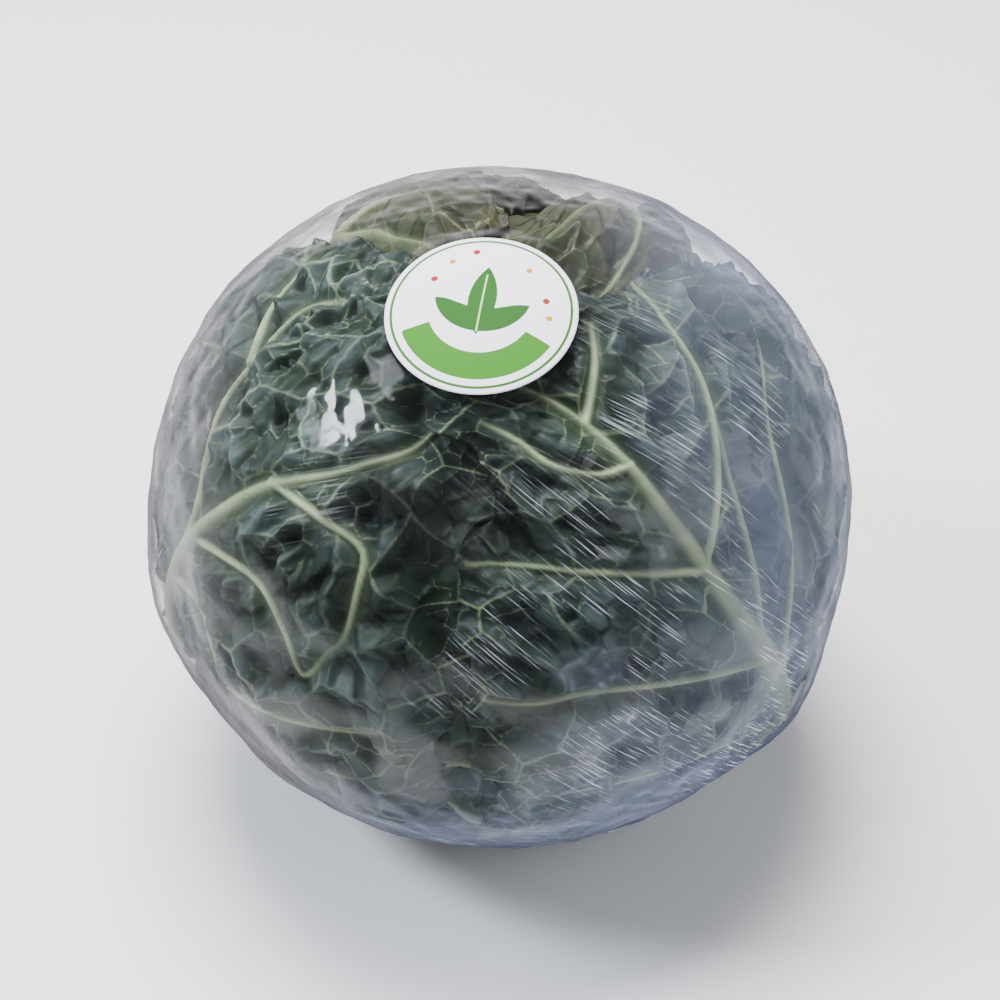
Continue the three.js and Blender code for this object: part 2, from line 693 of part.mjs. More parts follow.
function labelGeometry() {
  const frame = leafFrame(LABEL_AZIMUTH, LABEL_LATITUDE);
  const middleRadius = filmRadius(frame.out) / WRAP_RADIUS;
  const directions = [frame.out.clone()];
  const triangles = [];
  const at = (ring, side) => 1 + (ring - 1) * LABEL_SIDES + (side % LABEL_SIDES);
  for (let ring = 1; ring <= LABEL_RINGS; ring++) {
    for (let side = 0; side < LABEL_SIDES; side++) {
      const angle = (2 * Math.PI * side) / LABEL_SIDES;
      const reach = ((LABEL_DIAMETER / 2) * ring) / LABEL_RINGS / middleRadius;
      directions.push(toDirection(frame, reach * Math.cos(angle), reach * Math.sin(angle)));
    }
  }
  for (let side = 0; side < LABEL_SIDES; side++) {
    triangles.push([0, at(1, side), at(1, side + 1)]);
    for (let ring = 1; ring < LABEL_RINGS; ring++) {
      triangles.push([at(ring, side), at(ring + 1, side), at(ring + 1, side + 1)]);
      triangles.push([at(ring, side), at(ring + 1, side + 1), at(ring, side + 1)]);
    }
  }
  const face = (offset) => directions.map((d) =>
    d.clone().multiplyScalar(filmRadius(d) + offset).add(new THREE.Vector3(0, 0, CENTRE_HEIGHT)));
  return closedShell(face(TOUCH_GAP + LABEL_THICKNESS), face(TOUCH_GAP), triangles);
}

const cabbage = new THREE.Group();

function addPart(name, geometry, material) {
  const mesh = new THREE.Mesh(geometry, material);
  mesh.name = name;
  cabbage.add(mesh);
}

addPart("stem", stemGeometry(), MATERIALS.stem);
addPart("heart", heartGeometry(), MATERIALS.heart);
leaves.forEach((leaf, order) => {
  addPart(leaf.name, leafGeometry(leaf, order), order < 4 ? MATERIALS.outerLeaf : MATERIALS.innerLeaf);
});
addPart("film", filmGeometry(), MATERIALS.film);
addPart("label", labelGeometry(), MATERIALS.label);

export default cabbage;
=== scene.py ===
# A savoy cabbage in stretch film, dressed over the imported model.
# Shapes are worked out in millimetres, with the same layers and reliefs as the solids, and end up in metres.
import math

import bpy
import numpy as np
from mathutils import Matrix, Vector
from mathutils.geometry import delaunay_2d_cdt


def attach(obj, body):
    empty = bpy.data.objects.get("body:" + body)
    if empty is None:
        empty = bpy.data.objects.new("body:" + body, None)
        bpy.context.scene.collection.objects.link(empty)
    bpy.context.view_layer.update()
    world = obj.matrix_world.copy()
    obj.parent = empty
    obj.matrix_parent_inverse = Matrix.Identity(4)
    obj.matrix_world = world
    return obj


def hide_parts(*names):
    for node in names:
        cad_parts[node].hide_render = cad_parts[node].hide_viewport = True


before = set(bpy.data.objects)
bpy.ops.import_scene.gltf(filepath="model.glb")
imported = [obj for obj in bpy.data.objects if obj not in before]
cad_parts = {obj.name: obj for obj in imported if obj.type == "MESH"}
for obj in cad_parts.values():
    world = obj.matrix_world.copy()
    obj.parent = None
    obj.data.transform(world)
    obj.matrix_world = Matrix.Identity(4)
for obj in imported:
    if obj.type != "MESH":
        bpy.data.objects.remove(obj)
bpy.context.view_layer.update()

MM = 0.001

# The head's outer form
CENTRE_HEIGHT = 86
CENTRE = np.array([0, 0, CENTRE_HEIGHT])
HEAD_RADIUS = 94
HEAD_HALF_HEIGHT = 89
FLOOR_BLEND = 2.2
# Swellings: azimuth, latitude, reach, height
SWELLINGS = [(60, -20, 19, 4), (-74, -8, 20, 2.5), (95, 45, 48, 2.5), (-120, 50, 45, 1.5)]

# Leaf layers
WRAP_RADIUS = 96
LEAF_LATITUDE = 8
OPEN_LAYER_STEP = 8
COVERED_LAYER_STEP = 5.4
LAYER_GAP = 0.9
LAY_OVER_NEAR = 4
LAY_OVER_FAR = 24
STEM_END_SCALE = 0.5
STEM_END_FROM = -62
STEM_END_TO = -35

# Leaf blade
BLADE_THICKNESS = 0.9
NET_HEIGHT = 1.2
PIT_DEPTH = 4.4
DOME_HEIGHT = 2.4
DOME_SHARE = 0.3
VEIN_BED = -1.1
MARGIN_DROOP = -3
MARGIN_CRINKLE = 1.3
MARGIN_REACH = 14
MARGIN_WAVE = 2.6
# Heights on the leaf over which its margin starts to droop
MARGIN_FREE_FROM = -110
MARGIN_FREE_TO = -85
COVERED_RELIEF_CAP = 1.8
COVERED_RELIEF_SHARE = 0.5
OPEN_RELIEF_CAP = 4.4
RIB_THICKENING = 0.9
OUTLINE_SPACING = 9
CAP_SHARPNESS = 3

# Under the film's rim the leaves keep this much higher than the floor
BARE_BASE_RADIUS = 32
RIM_COVER_RADIUS = 42
RIM_COVER_HEIGHT = 3.4

# Film and label
FILM_STANDOFF = 5.4
FILM_FLOOR = 0.5
FILM_OPENING = 26
LABEL_DIAMETER = 48
LABEL_AZIMUTH = -9.5
LABEL_LATITUDE = 72.5

# The photo is taken from azimuth 0
PHOTO_ELEVATION = 42

# Ribs: width and height at the root and the tip, and how square the edge is
MIDRIB_WIDTH = (9, 0.9)
MIDRIB_HEIGHT = (5.6, 1.4)
MIDRIB_EDGE = 2.6
VEIN_WIDTH = (1.3, 0.5)
VEIN_HEIGHT = (2.2, 0.5)
VEIN_EDGE = 1.8
RIB_STEP = 3
RIB_TAPER = 0.65
TIP_FADE = 0.75
STALK_GROOVE = 0.16

# Relief that only the dressed leaves have: cell size as a share of the leaf's own, heights in millimetres
PUCKER_CELL = 0.4
PUCKER_BEND = 1.3
PUCKER_TURN = np.array([[0.9, -0.5], [0.4, 0.85]])
PUCKER_STRETCH = np.array([1.15, 0.8])
PUCKER_BORDER = 0.3
PUCKER_LOW = -1.3
PUCKER_HIGH = 1.1
PUCKER_TILT = 1.6
PIMPLE_CELL = 0.17
PIMPLE_BEND = 0.5
PIMPLE_BORDER = 0.12
PIMPLE_LOW = -0.45
PIMPLE_HIGH = 0.35
NET_RIDGE_HEIGHT = 0.65
NET_RIDGE_WIDTH = 0.9
PUCKER_RIDGE_HEIGHT = 0.3
PUCKER_RIDGE_WIDTH = 0.45
FRILL_REACH = 9
# Heights on the leaf over which its outline starts to wave, above the stalk
FREE_FROM = -105
FREE_TO = -80

# The shaded hollow between the two front leaves: middle and reach, seen from the photo's side
# Painted shade: over this patch the leaves' colour darkens to their darkest green.
PAINTED_SHADE_PATCH = (-12, 1, 27, 30)

# Blades: height on the leaf, then the reach to the left and right of the midrib. Midribs and veins: points on the
# leaf, as x and height. All are in millimetres along the wrapped surface.
BROAD_BLADE = [
    (-141, 19, 19), (-120, 24, 24), (-98, 52, 52), (-74, 84, 84), (-40, 106, 106),
    (0, 114, 114), (40, 108, 108), (75, 84, 84), (98, 56, 56),
]
RIGHT_LEAF_BLADE = [
    (-141, 19, 19), (-120, 32, 24), (-98, 72, 56), (-74, 92, 88), (-40, 98, 108), (-8, 86, 122),
    (16, 76, 132), (42, 64, 132), (64, 54, 118), (78, 34, 100), (92, 28, 80), (106, 24, 58),
]
LEFT_LEAF_BLADE = [
    (-141, 19, 19), (-120, 24, 30), (-98, 52, 72), (-74, 84, 94), (-40, 108, 102), (-8, 116, 98),
    (16, 120, 92), (42, 120, 76), (64, 116, 54), (84, 104, 40), (102, 84, 22), (116, 62, 2),
]
RIGHT_LEAF_MIDRIB = [
    (0, -141), (-1, -95), (-8, -48), (-24, -8), (-34, 15), (-40, 43), (-42, 70), (-46, 92), (-53, 108),
]
RIGHT_LEAF_VEINS = [
    [(-38, 31), (-22, 47), (-4, 69), (6, 89), (18, 106)],
    [(-17, -20), (-25, -1), (-24, 14), (-18, 44), (-5, 67)],
    [(-11, -38), (-15, -12), (-8, 13), (5, 46), (26, 60), (46, 72)],
    [(-4, -62), (12, -30), (32, 0), (54, 26), (76, 40)],
    [(-1, -92), (22, -66), (50, -42), (80, -18)],
    [(-41, 66), (-50, 68), (-59, 77), (-62, 88), (-66, 98)],
    [(-43, 82), (-26, 93), (-14, 102)],
    [(-38, 30), (-46, 34), (-66, 45), (-86, 57), (-95, 60)],
    [(-24, -10), (-51, 1), (-77, 10), (-92, 11), (-106, 15)],
    [(-8, -48), (-35, -40), (-66, -34), (-96, -32)],
    [(-1, -92), (-24, -80), (-54, -72)],
]
LEFT_LEAF_MIDRIB = [
    (0, -141), (0, -95), (6, -45), (12, -12), (18, 8), (28, 28), (38, 46), (52, 62), (60, 78), (58, 96),
]
LEFT_LEAF_VEINS = [
    [(15, 0), (17, 22), (3, 44), (-1, 60), (-6, 80), (2, 92)],
    [(38, 48), (57, 50), (72, 50), (77, 40), (80, 24), (77, 16)],
    [(21, 14), (48, 22), (63, 14), (72, 3), (77, 16)],
    [(13, -6), (31, -3), (37, -14), (41, -27), (61, -22), (79, -14), (96, -6)],
    [(3, -64), (28, -58), (58, -47), (84, -38)],
    [(8, -34), (-14, -5), (-34, 28), (-48, 60)],
    [(1, -74), (-30, -50), (-62, -18), (-86, 10)],
    [(1, -98), (-28, -84), (-62, -64)],
    [(-1, 60), (-18, 70), (-30, 84)],
]
# Wrapper leaves from the outermost in; grid is the spacing of the dressed mesh
LEAVES = [
    dict(name="leaf_1_right", azimuth=62, stem_end=141, tip=124, seed=11, cell=21, grid=0.85,
         crumple=1, blade=RIGHT_LEAF_BLADE, midrib=RIGHT_LEAF_MIDRIB, veins=RIGHT_LEAF_VEINS),
    dict(name="leaf_2_left", azimuth=-76, stem_end=141, tip=128, seed=23, cell=21, grid=0.85,
         rib=(7.5, 0.8), crumple=1.55, blade=LEFT_LEAF_BLADE, midrib=LEFT_LEAF_MIDRIB, veins=LEFT_LEAF_VEINS),
    dict(name="leaf_3_back_left", azimuth=-136, stem_end=141, tip=130, seed=53, cell=24, grid=1.05, bend=10,
         droop=-3.4),
    dict(name="leaf_4_back", azimuth=150, stem_end=139, tip=140, seed=37, cell=24, grid=1.05, bend=-12),
    dict(name="leaf_5_front", azimuth=13, stem_end=137, tip=116, seed=41, cell=24, grid=1.4, bend=-8),
    dict(name="leaf_6_right_side", azimuth=98, stem_end=134, tip=120, seed=67, cell=31, grid=1.6, bend=8),
    dict(name="leaf_7_front_left", azimuth=-40, stem_end=131, tip=146, seed=79, cell=31, grid=1.6, bend=-10),
]


# Shape functions, the same as the solids'

def mix(a, b, share):
    return a + (b - a) * share


def smoothstep(start, end, value):
    share = np.clip((value - start) / (end - start), 0, 1)
    return share * share * (3 - 2 * share)


def blob(xy, x, y, wide, high):
    """A soft spot, 1 in its middle."""
    return np.exp(-(((xy[:, 0] - x) / wide) ** 2) - ((xy[:, 1] - y) / high) ** 2)


def draw(i, j, seed):
    """A draw from 0 to 1 that is always the same for a pair of whole numbers and a seed."""
    value = np.sin(i * 127.1 + j * 311.7 + seed * 74.7) * 43758.5453
    return value - np.floor(value)


def direction_at(azimuth, latitude):
    a, l = np.radians(azimuth), np.radians(latitude)
    return np.stack([np.cos(l) * np.sin(a), -np.cos(l) * np.cos(a), np.sin(l) * np.ones_like(a)], -1)


def envelope(d):
    """Radius of the outermost leaf layer, from the head's centre."""
    radius = 1 / np.hypot(np.hypot(d[:, 0], d[:, 1]) / HEAD_RADIUS, d[:, 2] / HEAD_HALF_HEIGHT)
    for azimuth, latitude, reach, height in SWELLINGS:
        away = np.arccos(np.clip(d @ direction_at(azimuth, latitude), -1, 1)) * HEAD_RADIUS
        radius = radius + height * np.exp(-((away / reach) ** 2))
    low = d[:, 2] <= -0.3
    floor = CENTRE_HEIGHT / -d[low, 2]
    radius[low] = -FLOOR_BLEND * np.log(np.exp(-radius[low] / FLOOR_BLEND) + np.exp(-floor / FLOOR_BLEND))
    return radius


def relief_scale(d):
    latitude = np.degrees(np.arcsin(np.clip(d[:, 2], -1, 1)))
    return mix(STEM_END_SCALE, 1, smoothstep(STEM_END_FROM, STEM_END_TO, latitude))


def leaf_frame(azimuth, latitude):
    out = direction_at(azimuth, latitude)
    up = direction_at(azimuth, latitude + 90)
    return out, np.cross(up, out), up


def to_direction(plane, xy):
    out, right, up = plane
    reach = np.maximum(np.hypot(xy[:, 0], xy[:, 1]), 1e-9)
    angle = reach / WRAP_RADIUS
    along = (np.sin(angle) / reach)[:, None]
    return np.cos(angle)[:, None] * out + xy[:, :1] * along * right + xy[:, 1:] * along * up


def to_plane(plane, d):
    out, right, up = plane
    reach = np.arccos(np.clip(d @ out, -1, 1)) * WRAP_RADIUS
    xy = np.stack([d @ right, d @ up], -1)
    return xy * (reach / np.maximum(np.hypot(xy[:, 0], xy[:, 1]), 1e-9))[:, None]


def dense_curve(points):
    """A smooth curve through points: (arc length, xy) at many steps."""
    p = np.array(points, float)
    p = np.vstack([p[:1], p, p[-1:]])
    t = np.linspace(0, 1, 40, endpoint=False)[:, None]
    parts = []
    for a, b, c, e in zip(p[:-3], p[1:-2], p[2:-1], p[3:]):
        v0, v1 = (c - a) / 2, (e - b) / 2
        parts.append((2 * b - 2 * c + v0 + v1) * t ** 3 + (-3 * b + 3 * c - 2 * v0 - v1) * t ** 2 + v0 * t + b)
    xy = np.vstack(parts + [p[-1:]])
    length = np.concatenate([[0], np.cumsum(np.hypot(*np.diff(xy, axis=0).T))])
    return length, xy


def along_curve(curve, length):
    return np.stack([np.interp(length, curve[0], curve[1][:, k]) for k in (0, 1)], -1)


def smooth_line(points, spacing):
    curve = dense_curve(points)
    count = max(2, round(curve[0][-1] / spacing))
    return along_curve(curve, np.linspace(0, curve[0][-1], count + 1))


def distance_to_line(line, xy):
    """Distance to the nearest point of a line, and that point's share of the line's steps."""
    nearest = np.full(len(xy), np.inf)
    share = np.zeros(len(xy))
    for i in range(len(line) - 1):
        a, step = line[i], line[i + 1] - line[i]
        off = xy - a
        t = np.clip((off @ step) / (step @ step), 0, 1)
        away = np.hypot(off[:, 0] - t * step[0], off[:, 1] - t * step[1])
        closer = away < nearest
        nearest[closer] = away[closer]
        share[closer] = (i + t[closer]) / (len(line) - 1)
    return nearest, share


def inside_outline(outline, xy):
    inside = np.zeros(len(xy), bool)
    x, y = xy[:, 0], xy[:, 1]
    for (ax, ay), (bx, by) in zip(outline, np.roll(outline, 1, axis=0)):
        if ay == by:
            continue
        crosses = (ay > y) != (by > y)
        inside ^= crosses & (x < (bx - ax) * (y - ay) / (by - ay) + ax)
    return inside


def closed(outline):
    return np.vstack([outline, outline[:1]])


def plain_midrib(leaf):
    length = leaf["stem_end"] + leaf["tip"]
    return [(leaf["bend"] * t * t, -leaf["stem_end"] + t * length) for t in (0, 0.25, 0.5, 0.75, 0.94)]


def plain_veins(leaf):
    veins = []
    length = leaf["stem_end"] + leaf["tip"]
    for i in range(9):
        side = 1 if i % 2 else -1
        t = 0.14 + 0.075 * i + 0.02 * draw(i, 1, leaf["seed"])
        reach = (98 - 7 * i) * (0.85 + 0.2 * draw(i, 2, leaf["seed"]))
        rise = 46 + 14 * draw(i, 3, leaf["seed"])
        x, y = leaf["bend"] * t * t, -leaf["stem_end"] + t * length
        bow = 0.42 + 0.2 * draw(i, 4, leaf["seed"])
        veins.append([(x, y), (x + side * reach * bow, y + rise * 0.36),
                      (x + side * reach * 0.8, y + rise * 0.72), (x + side * reach, y + rise * 1.15)])
    return veins


def outline_curve(leaf, midrib):
    blade = [row for row in leaf.get("blade", BROAD_BLADE) if row[0] < leaf["tip"] - 8]
    blade[0] = (-leaf["stem_end"],) + blade[0][1:]

    def middle(y):
        return float(np.interp(y, midrib[:, 1], midrib[:, 0]))
    right = [(middle(y) + r, y) for y, _, r in blade]
    left = [(middle(y) - l, y) for y, l, _ in blade][::-1]
    return dense_curve(right + [((right[-1][0] + left[0][0]) / 2, leaf["tip"])] + left)


def outline_at(leaf, curve, index, count):
    """Points of the waved outline at indexes that count its coarse steps."""
    step = curve[0][-1] / count
    line = along_curve(curve, index * step)
    before = along_curve(curve, np.maximum(index - 1, 0) * step)
    after = along_curve(curve, np.minimum(index + 1, count) * step)
    run = (after - before) / np.hypot(*(after - before).T)[:, None]
    free = smoothstep(FREE_FROM, FREE_TO, line[:, 1]) * MARGIN_WAVE
    wave = free * (np.sin(index * 2.1 + leaf["seed"]) + 0.6 * np.sin(index * 0.9 + 2 * leaf["seed"])) * 0.6
    return line + np.stack([run[:, 1] * wave, -run[:, 0] * wave], -1), run


def prepare(leaf):
    midrib_points = leaf.get("midrib") or plain_midrib(leaf)
    curve = outline_curve(leaf, smooth_line(midrib_points, 6))
    count = max(2, round(curve[0][-1] / OUTLINE_SPACING))
    leaf["plane"] = leaf_frame(leaf["azimuth"], LEAF_LATITUDE)
    leaf["curve"], leaf["steps"] = curve, count
    leaf["outline"] = outline_at(leaf, curve, np.arange(count + 1.0), count)[0]
    leaf["ribs"] = [dict(line=smooth_line(midrib_points, RIB_STEP), wide=leaf.get("rib", MIDRIB_WIDTH),
                         high=MIDRIB_HEIGHT, edge=MIDRIB_EDGE)]
    for vein in leaf.get("veins") or plain_veins(leaf):
        line = smooth_line(vein, RIB_STEP)
        leaf["ribs"].append(dict(line=line, wide=VEIN_WIDTH, high=VEIN_HEIGHT, edge=VEIN_EDGE))


for leaf in LEAVES:
    prepare(leaf)


def lay_over(leaf, d):
    """Share from 0 to 1 of how far a leaf pushes in whatever lies under it."""
    xy = to_plane(leaf["plane"], d)
    share = inside_outline(leaf["outline"], xy).astype(float)
    rest = share == 0
    scale = relief_scale(d[rest])
    away = distance_to_line(closed(leaf["outline"]), xy[rest])[0]
    near, far = LAY_OVER_NEAR * scale, LAY_OVER_FAR * (1.2 * scale - 0.2)
    share[rest] = 1 - smoothstep(near, far, away)
    return share


def layers(order, d):
    """Radius of a layer, and the most that any leaf over it covers it."""
    scale = relief_scale(d)
    radius = envelope(d)
    covered = np.zeros(len(d))
    for over in LEAVES[:order]:
        share = lay_over(over, d)
        radius = radius - share * (mix(OPEN_LAYER_STEP, COVERED_LAYER_STEP, covered) * scale + LAYER_GAP)
        covered = np.maximum(covered, share)
    return radius, covered


PHOTO_SIDE = leaf_frame(0, PHOTO_ELEVATION)
ROW_RATIO = math.sqrt(3) / 2
CELL_JITTER = 0.3  # of a cell's size


def warp(x, y, seed):
    return (4.5 * np.sin(y / 17 + seed) + 2.5 * np.sin(y / 7.3 + x / 23),
            4.5 * np.sin(x / 19 + 2 * seed) + 2.5 * np.sin(x / 8.1 - y / 21))


def cells(xy, size, seed, bend=1.0):
    """Blistered cells: distance to the border, the nearest cell's kind and amount as draws, and its tilt."""
    wx, wy = warp(xy[:, 0], xy[:, 1], seed)
    u, v = xy[:, 0] + bend * wx, xy[:, 1] + bend * wy
    row, column = np.floor(v / (size * ROW_RATIO)), np.floor(u / size)
    first = np.full((5, len(u)), np.inf)
    second = np.full((5, len(u)), np.inf)
    for dj in range(-1, 3):
        for di in range(-2, 3):
            i, j = column + di, row + dj
            sx = (i + 0.5 * (np.abs(j) % 2) + (draw(i, j, seed) - 0.5) * 2 * CELL_JITTER) * size
            sy = (j + (draw(i, j, seed + 1) - 0.5) * 2 * CELL_JITTER) * size * ROW_RATIO
            found = np.stack([np.hypot(u - sx, v - sy), sx, sy, i, j])
            best = found[0] < first[0]
            next_best = ~best & (found[0] < second[0])
            second = np.where(best, first, np.where(next_best, found, second))
            first = np.where(best, found, first)
    apart = np.hypot(first[1] - second[1], first[2] - second[2])
    border = (second[0] ** 2 - first[0] ** 2) / (2 * apart)
    _, sx, sy, i, j = first
    tilt = ((u - sx) * (draw(i, j, seed + 4) - 0.5) + (v - sy) * (draw(i, j, seed + 6) - 0.5)) * 4 / size
    return border, draw(i, j, seed + 2), draw(i, j, seed + 3), tilt


def blister(kind, amount):
    return np.where(kind < DOME_SHARE, mix(0.4, DOME_HEIGHT, amount), -mix(0.8, PIT_DEPTH, amount))


# Meshes

def make_mesh(name, points, triangles, attributes=None, smooth=True):
    """An object of triangles, from points in millimetres."""
    mesh = bpy.data.meshes.new(name)
    triangles = np.asarray(triangles, np.int32)
    mesh.vertices.add(len(points))
    mesh.vertices.foreach_set("co", (np.asarray(points) * MM).ravel())
    mesh.loops.add(triangles.size)
    mesh.loops.foreach_set("vertex_index", triangles.ravel())
    mesh.polygons.add(len(triangles))
    mesh.polygons.foreach_set("loop_start", np.arange(0, triangles.size, 3, dtype=np.int32))
    mesh.update(calc_edges=True)
    mesh.validate()
    mesh.polygons.foreach_set("use_smooth", np.full(len(mesh.polygons), smooth))
    for key, values in (attributes or {}).items():
        mesh.attributes.new(key, "FLOAT", "POINT").data.foreach_set("value", np.asarray(values, np.float32))
    made = bpy.data.objects.new(name, mesh)
    bpy.context.scene.collection.objects.link(made)
    return made


def fill_outline(outline, spacing):
    """Even points over an outline with triangles between: the outline's own points come first."""
    low, high = outline.min(0), outline.max(0)
    rows = np.arange(low[1], high[1], spacing * ROW_RATIO)
    columns = np.arange(low[0], high[0], spacing)
    x, y = np.meshgrid(columns, rows)
    x = x + (np.arange(len(rows)) % 2)[:, None] * spacing / 2
    grid = np.stack([x.ravel(), y.ravel()], -1)
    coarse = outline[::max(1, round(2 / spacing))]
    grid = grid[inside_outline(coarse, grid)]
    grid = grid[distance_to_line(closed(coarse), grid)[0] > spacing * 0.8]
    points = np.vstack([outline, grid])
    count = len(outline)
    edges = [(i, (i + 1) % count) for i in range(count)]
    made = delaunay_2d_cdt([Vector(p) for p in points], edges, [], 1, 1e-6)
    kept = np.array([tuple(v) for v in made[0]])
    return kept, np.array(made[2], np.int32), [source[0] if source else -1 for source in made[3]]


def fine_outline(leaf, spacing):
    """The outline with small frills, closed over the stalk's end."""
    count = leaf["steps"]
    length = leaf["curve"][0][-1]
    index = np.linspace(0, count, max(60, round(length / spacing)))
    line, run = outline_at(leaf, leaf["curve"], index, count)
    s = index * length / count
    seed = leaf["seed"]
    frill = 0.8 * np.sin(s / 1.5 + 2 * np.sin(s / 7 + seed)) + 0.9 * np.sin(s / 2.9 + 3 * np.sin(s / 11 + seed))
    frill = frill * smoothstep(FREE_FROM, FREE_TO, line[:, 1]) * (0.35 + 0.3 * np.sin(s / 17 + seed))
    line = line + np.stack([run[:, 1] * frill, -run[:, 0] * frill], -1)
    gap = np.hypot(*(line[0] - line[-1]))
    steps = max(2, round(gap / spacing))
    base = mix(line[-1], line[0], (np.arange(1, steps) / steps)[:, None])
    return np.vstack([line, base])


def leaf_surface(leaf, order, xy):
    """Outer and inner points of a leaf, and the fields that its colours follow."""
    d = to_direction(leaf["plane"], xy)
    scale = relief_scale(d)
    radius, covered = layers(order, d)
    seed, size = leaf["seed"], leaf["cell"]
    border, kind, amount, _ = cells(xy, size, seed)
    blade = mix(NET_HEIGHT, blister(kind, amount), smoothstep(0, size * 0.4, border))
    rib = np.zeros(len(xy))
    bed = np.zeros(len(xy))
    mask = np.zeros(len(xy))
    for vein in leaf["ribs"]:
        away, share = distance_to_line(vein["line"], xy)
        taper = share ** RIB_TAPER
        wide, high = mix(*vein["wide"], taper), mix(*vein["high"], taper)
        blade = mix(VEIN_BED, blade, smoothstep(wide * 0.8, wide * 1.4 + 4, away))
        rib = np.maximum(rib, high * np.exp(-((away / wide) ** vein["edge"])))
        painted = (1 - smoothstep(wide * 0.4, wide * 1.1 + 0.45, away)) * (1 - TIP_FADE * share ** 4)
        mask = np.maximum(mask, painted)
        bed = np.maximum(bed, 1 - smoothstep(wide, wide * 2 + 3, away))
    edge, share = distance_to_line(closed(leaf["outline"]), xy)
    turns = len(leaf["outline"]) * share
    free = smoothstep(MARGIN_FREE_FROM, MARGIN_FREE_TO, xy[:, 1])
    crinkle = MARGIN_DROOP + leaf.get("droop", 0) + MARGIN_CRINKLE * np.sin(2.2 * turns + seed)
    blade = mix(blade, crinkle, 0.85 * free * smoothstep(MARGIN_REACH, 0, edge))

    turned = (xy @ PUCKER_TURN) * PUCKER_STRETCH + 3.1
    border2, kind2, amount2, tilt2 = cells(turned, size * PUCKER_CELL, seed + 5, PUCKER_BEND)
    border3, kind3, _, _ = cells(xy + 1.7, size * PIMPLE_CELL, seed + 9, PIMPLE_BEND)
    pucker = mix(PUCKER_LOW, PUCKER_HIGH, kind2) + PUCKER_TILT * tilt2
    pucker = mix(PUCKER_BORDER, pucker, smoothstep(0, size * 0.12, border2))
    pimple = mix(PIMPLE_BORDER, mix(PIMPLE_LOW, PIMPLE_HIGH, kind3), smoothstep(0, size * 0.065, border3))
    net = NET_RIDGE_HEIGHT * np.exp(-((border / NET_RIDGE_WIDTH) ** 2))
    net = net + PUCKER_RIDGE_HEIGHT * np.exp(-((border2 / PUCKER_RIDGE_WIDTH) ** 2))
    frill = smoothstep(FRILL_REACH, 0, edge) * free * np.sin(turns * 4.3 + 2.6 * np.sin(turns * 1.7 + seed))
    detail = (leaf.get("crumple", 1) * pucker + pimple + net) * (1 - bed) * (1 - 0.7 * covered)
    detail = detail + frill * (1 - 0.5 * covered)
    groove = smoothstep(2, 4.5, rib) * STALK_GROOVE * np.sin(xy[:, 0] * 1.9 + 0.8 * np.sin(xy[:, 1] / 13))

    cap = mix(OPEN_RELIEF_CAP, COVERED_RELIEF_CAP * scale, covered)
    height = (blade * mix(1, COVERED_RELIEF_SHARE, covered) + detail) * scale + rib + groove
    top = -np.logaddexp(-height * CAP_SHARPNESS, -cap * CAP_SHARPNESS) / CAP_SHARPNESS
    thickness = BLADE_THICKNESS + RIB_THICKENING * smoothstep(0.5, 3, rib)
    # One field marks the painted shade over the hollow between the two front leaves.
    fields = dict(
        rib=mask, bed=bed, net=np.minimum(border, 4), fine=np.minimum(border2, 3), height=(height + 4) / 8,
        tone=amount * 0.5 + amount2 * 0.5, painted_shade=blob(to_plane(PHOTO_SIDE, d), *PAINTED_SHADE_PATCH),
    )
    return place(d, radius + top, 0), place(d, radius + top - thickness, thickness), fields


def place(d, radius, above):
    """Points at a radius along directions, but no lower than the floor or the film's rim allows."""
    across = radius * np.hypot(d[:, 0], d[:, 1])
    lowest = above + RIM_COVER_HEIGHT * smoothstep(BARE_BASE_RADIUS, RIM_COVER_RADIUS, across)
    low = d[:, 2] < -0.1
    limit = np.where(low, (CENTRE_HEIGHT - lowest) / np.maximum(-d[:, 2], 0.1), np.inf)
    return d * np.minimum(radius, limit)[:, None] + CENTRE


def make_leaf(leaf, order):
    spacing = leaf["grid"]
    outline = fine_outline(leaf, spacing)
    rim = len(outline)
    xy, triangles, sources = fill_outline(outline, spacing)
    outer, _, fields = leaf_surface(leaf, order, xy)
    back_xy, back_triangles, back_sources = fill_outline(outline, spacing * 3.2)
    _, inner, back_fields = leaf_surface(leaf, order, back_xy)
    front_at = {source: i for i, source in enumerate(sources)}
    back_at = {source: i for i, source in enumerate(back_sources)}
    count = len(outer)
    walls = []
    for i in range(rim):
        a, b = front_at[i], front_at[(i + 1) % rim]
        c, e = count + back_at[i], count + back_at[(i + 1) % rim]
        walls += [(a, c, b), (b, c, e)]
    faces = np.vstack([triangles, back_triangles[:, ::-1] + count, walls])
    merged = {key: np.concatenate([fields[key], back_fields[key]]) for key in fields}
    made = make_mesh(leaf["name"] + "_blade", np.vstack([outer, inner]), faces, merged)
    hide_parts(leaf["name"])
    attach(made, "root")
    return made


# Materials

def add_node(tree, kind, inputs=None, **settings):
    made = tree.nodes.new(kind)
    for key, value in settings.items():
        setattr(made, key, value)
    for key, value in (inputs or {}).items():
        if isinstance(value, bpy.types.NodeSocket):
            tree.links.new(value, made.inputs[key])
        else:
            made.inputs[key].default_value = value
    return made


def field(tree, name):
    return add_node(tree, "ShaderNodeAttribute", attribute_name=name).outputs["Fac"]


def ramp(tree, value, start, end, low=0.0, high=1.0, smooth=True):
    kind = "SMOOTHSTEP" if smooth else "LINEAR"
    inputs = {"Value": value, "From Min": start, "From Max": end, "To Min": low, "To Max": high}
    return add_node(tree, "ShaderNodeMapRange", inputs, interpolation_type=kind).outputs["Result"]


def blend_colour(tree, share, first, second):
    made = add_node(tree, "ShaderNodeMix", data_type="RGBA")
    for socket, value in ((made.inputs[0], share), (made.inputs[6], first), (made.inputs[7], second)):
        if isinstance(value, bpy.types.NodeSocket):
            tree.links.new(value, socket)
        else:
            socket.default_value = value if socket == made.inputs[0] else (*value, 1)
    return made.outputs[2]


